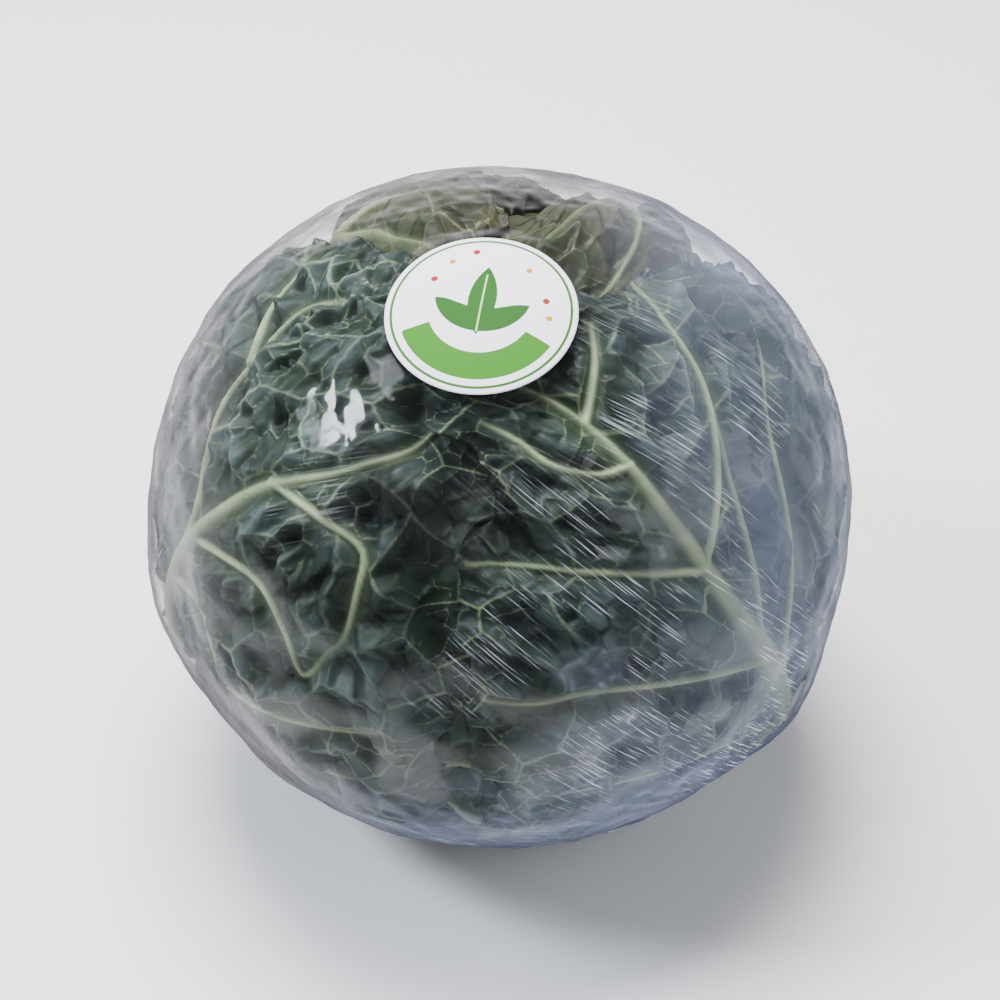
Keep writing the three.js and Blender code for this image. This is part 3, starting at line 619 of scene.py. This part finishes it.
def math_node(tree, operation, a, b=0.0):
    return add_node(tree, "ShaderNodeMath", {0: a, 1: b}, operation=operation).outputs[0]


def noise(tree, scale, detail=3.0, vector=None):
    if vector is None:
        vector = add_node(tree, "ShaderNodeTexCoord").outputs["Object"]
    inputs = {"Vector": vector, "Scale": scale, "Detail": detail}
    return add_node(tree, "ShaderNodeTexNoise", inputs).outputs["Fac"]


def add_bump(tree, shader, height, strength, distance):
    bump = add_node(tree, "ShaderNodeBump", {"Height": height, "Strength": strength, "Distance": distance})
    tree.links.new(bump.outputs["Normal"], shader.inputs["Normal"])


def new_material(name):
    made = bpy.data.materials.new(name)
    made.use_nodes = True
    return made, made.node_tree, made.node_tree.nodes["Principled BSDF"]


WITHERED_BROWN = (0.13, 0.1, 0.035)


def leaf_material(name, deep_shade, mid, high, vein, withered=0.0):
    made, tree, shader = new_material(name)
    # Colour by height on the leaf: the low parts go to the darkest green as painted shade in the pits, and the
    # tops go lighter and bluish as waxy bloom with painted highlight.
    height = field(tree, "height")
    colour = blend_colour(tree, ramp(tree, height, 0.1, 0.5), deep_shade, mid)
    colour = blend_colour(tree, ramp(tree, height, 0.5, 0.95), colour, high)
    patch = ramp(tree, noise(tree, 45, 2), 0.35, 0.7)
    colour = blend_colour(tree, math_node(tree, "MULTIPLY", patch, 0.35), colour, [c * 0.55 for c in mid])
    brown = ramp(tree, noise(tree, 34, 2), 0.56, 0.72, 0, withered)
    colour = blend_colour(tree, brown, colour, WITHERED_BROWN)
    tone = ramp(tree, field(tree, "tone"), 0.2, 0.9, 0, 0.35)
    colour = blend_colour(tree, tone, colour, high)
    # Painted shade over the hollow between the two front leaves.
    colour = blend_colour(tree, math_node(tree, "MULTIPLY", field(tree, "painted_shade"), 0.62), colour, deep_shade)
    shown = ramp(tree, noise(tree, 38, 2), 0.4, 0.6)
    hidden = math_node(tree, "SUBTRACT", 1.0, shown)
    # Painted shade: the pucker borders go darker where the pale net lines are hidden.
    crease_shade = math_node(tree, "MULTIPLY", ramp(tree, field(tree, "fine"), 1.1, 0.1, 0, 0.8), hidden)
    colour = blend_colour(tree, crease_shade, colour, deep_shade)
    fine = math_node(tree, "MULTIPLY", ramp(tree, field(tree, "fine"), 0.4, 0.08, 0, 0.3), shown)
    colour = blend_colour(tree, fine, colour, vein)
    seen = math_node(tree, "ADD", 0.25, math_node(tree, "MULTIPLY", shown, 0.75))
    net = math_node(tree, "MULTIPLY", ramp(tree, field(tree, "net"), 0.65, 0.1, 0, 0.42), seen)
    colour = blend_colour(tree, net, colour, vein)
    bed = math_node(tree, "MULTIPLY", field(tree, "bed"), 0.07)
    colour = blend_colour(tree, bed, colour, vein)
    rib_tint = blend_colour(tree, ramp(tree, noise(tree, 120, 1), 0.3, 0.7), vein, [c * 0.78 for c in vein])
    colour = blend_colour(tree, field(tree, "rib"), colour, rib_tint)
    tree.links.new(colour, shader.inputs["Base Color"])
    rough = ramp(tree, noise(tree, 160, 1), 0.3, 0.7, 0.4, 0.62)
    tree.links.new(rough, shader.inputs["Roughness"])
    shader.inputs["Specular IOR Level"].default_value = 0.16
    add_bump(tree, shader, noise(tree, 380, 1), 0.3, 0.0006)
    return made


# Leaf colours: the first is the painted shade of pits, creases and the hollow between the front leaves; the third
# is waxy bloom with painted highlight on the tops.
OUTER_GREEN = dict(deep_shade=(0.002, 0.005, 0.0025), mid=(0.014, 0.028, 0.016), high=(0.064, 0.091, 0.09),
                   vein=(0.31, 0.385, 0.21))
TOP_GREEN = dict(deep_shade=(0.003, 0.005, 0.002), mid=(0.024, 0.031, 0.013), high=(0.072, 0.08, 0.05),
                 vein=(0.25, 0.3, 0.16), withered=0.4)
INNER_GREEN = dict(deep_shade=(0.003, 0.009, 0.003), mid=(0.018, 0.036, 0.017), high=(0.06, 0.09, 0.06),
                   vein=(0.24, 0.31, 0.15))
HEART_GREEN = dict(deep_shade=(0.06, 0.12, 0.03), mid=(0.16, 0.26, 0.08), high=(0.3, 0.42, 0.16),
                   vein=(0.5, 0.58, 0.3))

outer_leaf = leaf_material("outer_leaf_skin", **OUTER_GREEN)
top_leaf = leaf_material("top_leaf_skin", **TOP_GREEN)
inner_leaf = leaf_material("inner_leaf_skin", **INNER_GREEN)
heart_leaf = leaf_material("heart_leaf_skin", **HEART_GREEN)

blades = []
for order, leaf in enumerate(LEAVES):
    blade = make_leaf(leaf, order)
    blade.data.materials.append((outer_leaf, top_leaf, inner_leaf)[min(order // 2, 2)])
    blades.append(blade)


# Heart: leaf edges as azimuth, latitude and reach in degrees
HEART_LEAVES = [(20, 25, 74), (160, 30, 70), (-100, 28, 72), (60, 62, 48), (-150, 66, 42)]
HEART_STEP = 1.1
HEART_GAP = 4
HEART_BASE_LIFT = 36
HEART_BASE_FROM = -42
HEART_BASE_TO = -80
HEART_CELL = 24
HEART_DETAIL = (180, 90)


def fan_and_rings(columns, rings):
    """Triangles of rings round a first point: the fan in the middle, then the bands between the rings."""
    first = np.arange(columns)
    fan = np.stack([0 * first, 1 + first, 1 + (first + 1) % columns], -1)
    i, j = np.meshgrid(first, np.arange(rings - 1))
    a, b = 1 + j * columns + i, 1 + j * columns + (i + 1) % columns
    return [fan, np.stack([a, a + columns, b + columns, a, b + columns, b], -1).reshape(-1, 3)]


def globe(columns, rows, lowest=-90.0):
    """Directions and triangles of a globe from the top down to a latitude, open below unless it is -90."""
    latitudes = np.linspace(90, lowest, rows + 1)[1:-1 if lowest == -90 else None]
    azimuths = np.arange(columns) * 360 / columns
    grid = direction_at(*np.meshgrid(azimuths, latitudes)).reshape(-1, 3)
    rings = len(latitudes)
    d = np.vstack([[0, 0, 1], grid] + ([[0, 0, -1]] if lowest == -90 else []))
    parts = fan_and_rings(columns, rings)
    if lowest == -90:
        first = np.arange(columns)
        start = 1 + (rings - 1) * columns
        parts.append(np.stack([np.full(columns, len(d) - 1), start + (first + 1) % columns, start + first], -1))
    return d, np.vstack(parts)


def make_heart():
    d, triangles = globe(*HEART_DETAIL)
    xy = to_plane(leaf_frame(0, 90), d)
    border, kind, amount, _ = cells(xy, HEART_CELL, 5)
    height = mix(NET_HEIGHT, blister(kind, amount), smoothstep(0, HEART_CELL * 0.4, border)) * 0.5 - HEART_GAP
    for azimuth, latitude, reach in HEART_LEAVES:
        away = np.degrees(np.arccos(np.clip(d @ direction_at(azimuth, latitude), -1, 1)))
        height = height + HEART_STEP * smoothstep(reach, reach - 5, away)
    latitude = np.degrees(np.arcsin(np.clip(d[:, 2], -1, 1)))
    lift = HEART_BASE_LIFT * smoothstep(HEART_BASE_FROM, HEART_BASE_TO, latitude)
    radius = layers(len(LEAVES), d)[0] - lift + np.minimum(height, 2) * relief_scale(d)
    border2, kind2, _, _ = cells(xy, HEART_CELL * 0.35, 15)
    radius = radius + mix(0.2, mix(-0.8, 0.6, kind2), smoothstep(0, 3, border2))
    still = np.zeros(len(d))
    fields = dict(rib=still, bed=still, net=np.minimum(border, 4), fine=np.minimum(border2, 3),
                  height=(height + 5) / 8, tone=amount, painted_shade=still)
    made = make_mesh("heart_leaves", d * radius[:, None] + CENTRE, triangles, fields)
    made.data.materials.append(heart_leaf)
    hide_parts("heart")
    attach(made, "root")


make_heart()

# Film: reaches and heights in millimetres
FILM_TOUCH_REACH = 4.5
FILM_SMOOTHING = 3.6
FILM_SPAN = 11
FILM_SAG = 0.9
FILM_CLEARANCE = 0.9
FILM_MIDDLE = 4.7
FILM_PLAY = 1.1
FILM_SOFTNESS = 1.6
FILM_CONTROLS = 5200
FILM_DETAIL = (470, 200)

# Pleats: azimuth and latitude of the stalk that the film is drawn over, and of the gathered base
KNOB_SIDE = leaf_frame(44, -26)
BASE_SIDE = leaf_frame(0, -90)
PLEAT_DEPTH = 0.32

# Milk of the film with painted sheen: it is clear round a point left of the middle seen from the front, and
# hazier from there outwards, where the sheen of film at a slant is painted in
HAZE_MIDDLE = -20
HAZE_FROM = 45
HAZE_TO = 115
HAZE_MOST = 0.24
HAZE_LEAST = 0.004
BACK_FROM = 112
BACK_TO = 180
BACK_CLEARING = 0.72
# Painted shade: the milk darkens over this reach towards the outline seen from the front.
RIM_SHADE_FROM = 92
RIM_SHADE_TO = 128
# Bunched film at the front: middle, reach and strength, seen from the photo's side
CLUMPS = [(29, -55, 17, 24, 1), (8, -88, 40, 22, 0.5)]


def even_directions(count):
    k = np.arange(count) + 0.5
    z = 1 - 2 * k / count
    turn = k * math.pi * (1 + math.sqrt(5))
    across = np.sqrt(1 - z * z)
    return np.stack([across * np.cos(turn), across * np.sin(turn), z], -1)


def mesh_points(thing):
    points = np.empty(len(thing.data.vertices) * 3, np.float32)
    thing.data.vertices.foreach_get("co", points)
    return points.reshape(-1, 3) / MM


def spread(d, centres, values, reach):
    """Values at centres, smoothed over a reach in millimetres, at directions."""
    made = np.empty(len(d))
    for start in range(0, len(d), 3000):
        part = d[start:start + 3000].astype(np.float32)
        weight = np.exp((part @ centres.T - 1) * (2 * (HEAD_RADIUS / reach) ** 2)) + np.float32(1e-20)
        made[start:start + 3000] = (weight @ values) / weight.sum(1)
    return made


def touch_heights():
    """How far the leaves reach over the envelope around even directions: what the film touches."""
    points = np.vstack([mesh_points(blade)[::3] for blade in blades]) - CENTRE
    radius = np.linalg.norm(points, axis=1)
    d = points / radius[:, None]
    over = (radius - envelope(d)).astype(np.float32)
    high = over > -6
    d, over = d[high].astype(np.float32), over[high]
    controls = even_directions(FILM_CONTROLS).astype(np.float32)
    near = math.cos(FILM_TOUCH_REACH / HEAD_RADIUS)
    highest = np.array([over[d @ c > near].max(initial=-4) for c in controls], np.float32)
    spanned = spread(controls, controls, highest, FILM_SPAN) - FILM_SAG
    return controls, np.maximum(highest, spanned).astype(np.float32)


film_controls, film_touch = touch_heights()


def label_reach(d):
    """Distance from the label's middle."""
    return np.arccos(np.clip(d @ direction_at(LABEL_AZIMUTH, LABEL_LATITUDE), -1, 1)) * HEAD_RADIUS


def film_height(d):
    """How far the film stands over the envelope."""
    height = spread(d, film_controls, film_touch, FILM_SMOOTHING) + FILM_CLEARANCE
    height = FILM_MIDDLE + FILM_PLAY * np.tanh((height - FILM_MIDDLE) / FILM_SOFTNESS)
    return mix(FILM_STANDOFF, height, smoothstep(LABEL_DIAMETER * 0.46, LABEL_DIAMETER * 0.7, label_reach(d)))


def clouds(points, size, seed):
    """Soft patches about a size across, mostly from 0 to 1."""
    total = np.zeros(len(points))
    for k, turn in enumerate(even_directions(18)):
        pace = 2 * math.pi / size * (0.6 + 0.9 * draw(k, 1, seed))
        total = total + np.sin(points @ turn * pace + 40 * draw(k, 2, seed))
    return 0.5 + total / 9.6


def film_pleats(d):
    """Pleats that run into the stalk at the right and to the gathered base, from -1 to 1."""
    knob = to_plane(KNOB_SIDE, d)
    angle, reach = np.arctan2(knob[:, 1], knob[:, 0]), np.hypot(knob[:, 0], knob[:, 1])
    pleat = np.sin(angle * 23 + 2 * np.sin(angle * 7)) * np.exp(-((reach / 42) ** 2)) * smoothstep(4, 16, reach)
    base = to_plane(BASE_SIDE, d)
    angle, reach = np.arctan2(base[:, 1], base[:, 0]), np.hypot(base[:, 0], base[:, 1])
    return pleat + np.sin(angle * 44 + 3 * np.sin(angle * 5)) * np.exp(-((reach / 85) ** 4))


def film_radius(d):
    wrinkle = 0.3 * clouds(d * HEAD_RADIUS, 11, 3) + 0.16 * clouds(d * HEAD_RADIUS, 5, 4) - 0.23
    wrinkle = wrinkle + PLEAT_DEPTH * film_pleats(d) * smoothstep(-0.97, -0.8, d[:, 2])
    radius = envelope(d) + film_height(d) + wrinkle * smoothstep(24, 34, label_reach(d))
    low = d[:, 2] < -0.1
    return np.where(low, np.minimum(radius, (CENTRE_HEIGHT - FILM_FLOOR) / np.maximum(-d[:, 2], 0.1)), radius)


# Painted highlights in streaks on the stretched film: azimuth and latitude of the middle, slant in degrees,
# half length, half width, strength
STREAK_PATCHES = [
    (14, 16, -47, 46, 40, 1.0), (36, 4, -50, 44, 30, 0.9), (48, 42, -62, 46, 30, 0.75),
    (-42, 38, 35, 26, 16, 0.4), (-60, 10, 60, 30, 18, 0.35), (120, 10, -40, 50, 34, 0.8),
    (-170, 30, 30, 50, 34, 0.8), (-110, 0, 50, 40, 30, 0.6), (170, -30, -20, 40, 26, 0.7),
    (5, -28, -15, 44, 18, 0.6), (80, -20, -62, 30, 20, 0.7),
]


def film_fields(d):
    """Where the film has painted highlight streaks, milk with painted sheen, bunches, painted shade round the
    outline, painted light tint and gloss, and the streaks' own directions.
    """
    seen = to_plane(PHOTO_SIDE, d)
    best = np.zeros(len(d))
    along = np.zeros(len(d))
    across = np.zeros(len(d))
    for k, (azimuth, latitude, slant, length, width, strength) in enumerate(STREAK_PATCHES):
        local = to_plane(leaf_frame(azimuth, latitude), d)
        c, s = math.cos(math.radians(slant)), math.sin(math.radians(slant))
        u, v = local[:, 0] * c + local[:, 1] * s, -local[:, 0] * s + local[:, 1] * c
        mask = strength * np.exp(-((u / length) ** 4) - (v / width) ** 4)
        more = mask > best
        best = np.where(more, mask, best)
        along, across = np.where(more, u + 200 * k, along), np.where(more, v, across)
    # Painted light colour: the milk is tinted cooler towards the right and below, warmer towards the left.
    cool_lit_side = smoothstep(-45, 45, seen[:, 0] - 0.5 * seen[:, 1])
    lower = np.where(seen[:, 1] < 0, 0.75, 0.45)
    # Milk with painted sheen: least round a point seen from the front, more towards the outline.
    from_clear = np.hypot(seen[:, 0] - HAZE_MIDDLE, lower * seen[:, 1])
    haze_and_sheen = HAZE_MOST * smoothstep(HAZE_FROM, HAZE_TO, from_clear)
    haze_and_sheen = HAZE_LEAST + haze_and_sheen * (1 - BACK_CLEARING * smoothstep(BACK_FROM, BACK_TO, from_clear))
    clump = sum(strength * blob(seen, *spot) for *spot, strength in CLUMPS)
    points = d * HEAD_RADIUS
    haze_and_sheen = haze_and_sheen * mix(0.6, 1.3, smoothstep(0.1, 1, clouds(points, 60, 6)))
    ridge = 1 - np.abs(2 * clouds(points, 9, 7) - 1) * 3
    clump = clump * (0.14 + 0.2 * smoothstep(0.2, 1, ridge)) * smoothstep(0.2, 0.8, clouds(points, 20, 8))
    return dict(
        along=along, across=across, cool_lit_side=cool_lit_side, clump=clump,
        rim_shade=smoothstep(RIM_SHADE_FROM, RIM_SHADE_TO, np.hypot(seen[:, 0], seen[:, 1])),
        streak_highlight=best * smoothstep(0.3, 0.6, clouds(points, 30, 5)),
        haze_and_sheen=haze_and_sheen + 0.2 * smoothstep(0.35, 1, film_pleats(d)),
        gloss=mix(0.08, 0.6, smoothstep(0.3, 0.8, clouds(points, 22, 9))),
    )


# Colours of the film's milk, at the left and right with the light's warmer and cooler tint painted in: in the
# middle, darkened round the outline as painted shade, and whitened in streaks as painted highlight
WARM_MILK, COOL_MILK = (0.46, 0.43, 0.46), (0.32, 0.36, 0.5)
WARM_RIM_SHADE, COOL_RIM_SHADE = (0.115, 0.105, 0.115), (0.08, 0.09, 0.135)
MILK_AND_HIGHLIGHT_WHITE = (0.8, 0.83, 0.95)


def film_material():
    made, tree, shader = new_material("stretch_film_skin")
    output = tree.nodes["Material Output"]
    tree.nodes.remove(shader)
    lines = add_node(tree, "ShaderNodeCombineXYZ", {
        "X": math_node(tree, "MULTIPLY", field(tree, "along"), 0.06),
        "Y": math_node(tree, "MULTIPLY", field(tree, "across"), 2.3),
    }).outputs["Vector"]
    threads = ramp(tree, noise(tree, 1.0, 2, lines), 0.55, 0.72)
    # Painted highlights: thin white streaks along the film's fine wrinkles.
    streak_highlight = math_node(tree, "MULTIPLY", threads, field(tree, "streak_highlight"))
    facing = add_node(tree, "ShaderNodeLayerWeight", {"Blend": 0.5}).outputs["Facing"]
    rim = ramp(tree, facing, 0.52, 0.95, 0, 0.64)
    bunch_and_highlight = math_node(tree, "ADD", streak_highlight, field(tree, "clump"))
    cover = math_node(tree, "ADD", field(tree, "haze_and_sheen"), math_node(tree, "MULTIPLY", streak_highlight, 0.46))
    cover = math_node(tree, "ADD", math_node(tree, "ADD", cover, field(tree, "clump")), rim)
    clear = add_node(tree, "ShaderNodeBsdfTransparent", {"Color": (0.97, 0.97, 0.98, 1)}).outputs[0]
    gloss = add_node(tree, "ShaderNodeBsdfGlossy", {"Color": (1, 1, 1, 1), "Roughness": 0.1})
    fresnel = add_node(tree, "ShaderNodeFresnel", {"IOR": 1.5}).outputs[0]
    share = math_node(tree, "MULTIPLY", fresnel, field(tree, "gloss"))
    skin = add_node(tree, "ShaderNodeMixShader", {0: share, 1: clear, 2: gloss.outputs[0]}).outputs[0]
    # Painted light colour: the milk's tint runs from warmer at the left to cooler at the right.
    tint = blend_colour(tree, field(tree, "cool_lit_side"), WARM_MILK, COOL_MILK)
    # Painted shade: the milk's colour at the outline.
    rim_shade = blend_colour(tree, field(tree, "cool_lit_side"), WARM_RIM_SHADE, COOL_RIM_SHADE)
    tint = blend_colour(tree, field(tree, "rim_shade"), tint, rim_shade)
    # Whiter milk over the bunched film, and white painted highlight along the streaks.
    tint = blend_colour(tree, ramp(tree, bunch_and_highlight, 0, 0.5), tint, MILK_AND_HIGHLIGHT_WHITE)
    milk = add_node(tree, "ShaderNodeBsdfDiffuse", {"Color": tint}).outputs[0]
    skin = add_node(tree, "ShaderNodeMixShader", {0: cover, 1: skin, 2: milk}).outputs[0]
    tree.links.new(skin, output.inputs["Surface"])
    return made


film_directions, film_triangles = globe(*FILM_DETAIL, FILM_OPENING - 90)
film_points = film_directions * film_radius(film_directions)[:, None] + CENTRE
film_skin = make_mesh("film_skin", film_points, film_triangles, film_fields(film_directions))
film_skin.data.materials.append(film_material())
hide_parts("film")
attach(film_skin, "root")

# Label
LABEL_LIFT = 0.35
LABEL_THICKNESS = 0.35
LABEL_WHITE = (0.85, 0.83, 0.92)
RING_RADIUS = 22.3
RING_HALF_WIDTH = 0.35
BAND_RADIUS = 16.6
BAND_HALF_WIDTH = 3.6
BAND_HALF_ANGLE = 66
# Leaves of the sprig: root, angle, length, width
SPRIG = [((0, -8), 90, 21, 7), ((0, -7), 142, 15, 5.5), ((0, -7), 38, 15, 5.5), ((0, -3), 160, 11, 3.6),
         ((0, -3), 20, 11, 3.6)]
RED_DOTS = [(-13, 8), (15.5, 4.5), (-4, 18)]
GOLD_DOTS = [(-9.5, 14), (10, 13.5), (17, -0.5)]
# Paint over paint, by the name of its field
LABEL_PAINTS = [
    ("ring", (0.03, 0.13, 0.012)), ("band", (0.035, 0.19, 0.008)), ("leaves", (0.012, 0.1, 0.006)),
    ("middle", (0.45, 0.6, 0.3)), ("red", (0.35, 0.01, 0.01)), ("gold", (0.5, 0.25, 0.01)),
]


def sprig_distance(xy, root, angle, length, width):
    """Distance, negative inside, to a leaf shape that starts at root and points along an angle."""
    c, s = math.cos(math.radians(angle)), math.sin(math.radians(angle))
    off = xy - np.array(root)
    u, v = off[:, 0] * c + off[:, 1] * s, np.abs(-off[:, 0] * s + off[:, 1] * c)
    half = length / 2
    bend = (half * half - (width / 2) ** 2) / width
    return np.hypot(u - half, v + bend) - (bend + width / 2)


def dots_distance(xy, middles, size):
    return np.min([np.hypot(xy[:, 0] - x, xy[:, 1] - y) - size for x, y in middles], axis=0)


def label_fields(xy):
    """Distances to the motif's shapes, negative inside them."""
    radius = np.hypot(xy[:, 0], xy[:, 1])
    angle = np.degrees(np.arctan2(xy[:, 1], xy[:, 0]))
    from_bottom = np.abs((angle + 90 + 180) % 360 - 180)
    return dict(
        ring=np.abs(radius - RING_RADIUS) - RING_HALF_WIDTH,
        band=np.maximum(np.abs(radius - BAND_RADIUS) - BAND_HALF_WIDTH, (from_bottom - BAND_HALF_ANGLE) * 0.3),
        leaves=np.min([sprig_distance(xy, *shape) for shape in SPRIG], axis=0),
        red=dots_distance(xy, RED_DOTS, 0.9),
        gold=dots_distance(xy, GOLD_DOTS, 0.8),
        middle=np.abs(xy[:, 0]) - 0.22 + 10 * (np.abs(xy[:, 1] - 1.5) > 9),
    )


def label_material():
    made, tree, shader = new_material("label_paper_skin")
    colour = LABEL_WHITE
    for key, paint in LABEL_PAINTS:
        colour = blend_colour(tree, ramp(tree, field(tree, key), 0.06, -0.06), colour, paint)
    tree.links.new(colour, shader.inputs["Base Color"])
    shader.inputs["Roughness"].default_value = 0.6
    shader.inputs["Specular IOR Level"].default_value = 0.15
    add_bump(tree, shader, noise(tree, 700, 2), 0.2, 0.0002)
    return made


def make_label():
    plane = leaf_frame(LABEL_AZIMUTH, LABEL_LATITUDE)
    rings, sides = 60, 180
    reach = np.linspace(0, LABEL_DIAMETER / 2, rings + 1)[1:]
    turn = np.arange(sides) * 2 * math.pi / sides
    around = np.stack([np.outer(reach, np.cos(turn)).ravel(), np.outer(reach, np.sin(turn)).ravel()], -1)
    xy = np.vstack([[[0, 0]], around])
    middle = float(film_radius(plane[0][None])[0]) / WRAP_RADIUS
    d = to_direction(plane, xy / middle)
    radius = film_radius(d)[:, None]
    front = d * (radius + LABEL_LIFT + LABEL_THICKNESS) + CENTRE
    back = d * (radius + LABEL_LIFT) + CENTRE
    face = np.vstack(fan_and_rings(sides, rings))
    count = len(d)
    rim = count - sides + np.arange(sides)
    after = count - sides + (np.arange(sides) + 1) % sides
    wall = np.vstack([np.stack([rim, count + rim, after], -1),
                      np.stack([after, count + rim, count + after], -1)])
    fields = {key: np.concatenate([value, value * 0 + 9]) for key, value in label_fields(xy).items()}
    faces = np.vstack([face, face[:, ::-1] + count, wall])
    made = make_mesh("label_disc", np.vstack([front, back]), faces, fields)
    made.data.materials.append(label_material())
    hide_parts("label")
    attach(made, "root")


make_label()

# Stem: colours from the middle out
STEM_PITH = (0.72, 0.74, 0.58)
STEM_FLESH = (0.62, 0.66, 0.44)
STEM_RIND = (0.4, 0.48, 0.2)
STEM_STAIN = (0.42, 0.38, 0.2)


def stem_material():
    made, tree, shader = new_material("stem_skin")
    spot = add_node(tree, "ShaderNodeTexCoord").outputs["Object"]
    spot = add_node(tree, "ShaderNodeSeparateXYZ", {"Vector": spot}).outputs
    flat = add_node(tree, "ShaderNodeCombineXYZ", {"X": spot["X"], "Y": spot["Y"]}).outputs[0]
    across = add_node(tree, "ShaderNodeVectorMath", {0: flat}, operation="LENGTH").outputs["Value"]
    flesh = blend_colour(tree, ramp(tree, across, 0.0145, 0.0165), STEM_FLESH, STEM_RIND)
    colour = blend_colour(tree, ramp(tree, across, 0.007, 0.010), STEM_PITH, flesh)
    colour = blend_colour(tree, ramp(tree, noise(tree, 260, 4), 0.4, 0.75, 0, 0.5), colour, STEM_STAIN)
    tree.links.new(colour, shader.inputs["Base Color"])
    shader.inputs["Roughness"].default_value = 0.7
    add_bump(tree, shader, noise(tree, 500, 4), 0.5, 0.0006)
    return made


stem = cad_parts["stem"]
stem.data.materials.clear()
stem.data.materials.append(stem_material())

# Stage, lights and camera
CAMERA_DISTANCE = 620
CAMERA_LENS = 79.1
LOOK_AT = Vector((0, 0, 88))
LIGHTS_AIM = Vector((0, 0, 0.09))
DAYLIGHT = (0.84, 0.9, 1.0)
WINDOW_LIGHT = (0.86, 0.9, 1.0)
WORLD_STRENGTH = 0.26
FLOOR_HALF = 3000
FLOOR_WHITE = (0.86, 0.86, 0.87, 1)


def aim(thing, target):
    thing.rotation_euler = (target - thing.location).to_track_quat("-Z", "Y").to_euler()


camera = bpy.data.objects.new("camera", bpy.data.cameras.new("camera"))
bpy.context.scene.collection.objects.link(camera)
camera.data.lens = CAMERA_LENS
camera.data.sensor_width = 36
toward = Vector(direction_at(0, PHOTO_ELEVATION).tolist())
camera.location = (LOOK_AT + toward * CAMERA_DISTANCE) * MM
aim(camera, LOOK_AT * MM)
bpy.context.scene.camera = camera


def soft_light(name, azimuth, elevation, distance, size, power, colour=(1, 1, 1)):
    lamp = bpy.data.lights.new(name, "AREA")
    lamp.shape = "RECTANGLE"
    lamp.size, lamp.size_y = size
    lamp.energy = power
    lamp.color = colour
    made = bpy.data.objects.new(name, lamp)
    bpy.context.scene.collection.objects.link(made)
    made.location = Vector(direction_at(azimuth, elevation).tolist()) * distance
    aim(made, LIGHTS_AIM)


soft_light("key_light", -160, 76, 1.2, (0.6, 0.6), 36)
soft_light("left_light", -86, 46, 1.3, (0.3, 0.3), 19, DAYLIGHT)
soft_light("fill_light", 70, 34, 1.4, (1.2, 1.0), 10, WINDOW_LIGHT)

world = bpy.data.worlds.new("studio")
bpy.context.scene.world = world
world.use_nodes = True
world.node_tree.nodes["Background"].inputs["Color"].default_value = (1, 1, 1, 1)
world.node_tree.nodes["Background"].inputs["Strength"].default_value = WORLD_STRENGTH

corners = [(x * FLOOR_HALF, y * FLOOR_HALF, 0) for x, y in ((-1, -1), (1, -1), (1, 1), (-1, 1))]
floor = make_mesh("floor", corners, [(0, 1, 2), (0, 2, 3)], smooth=False)
floor_paint, _, floor_shader = new_material("floor_paint")
floor_shader.inputs["Base Color"].default_value = FLOOR_WHITE
floor_shader.inputs["Roughness"].default_value = 0.7
floor.data.materials.append(floor_paint)
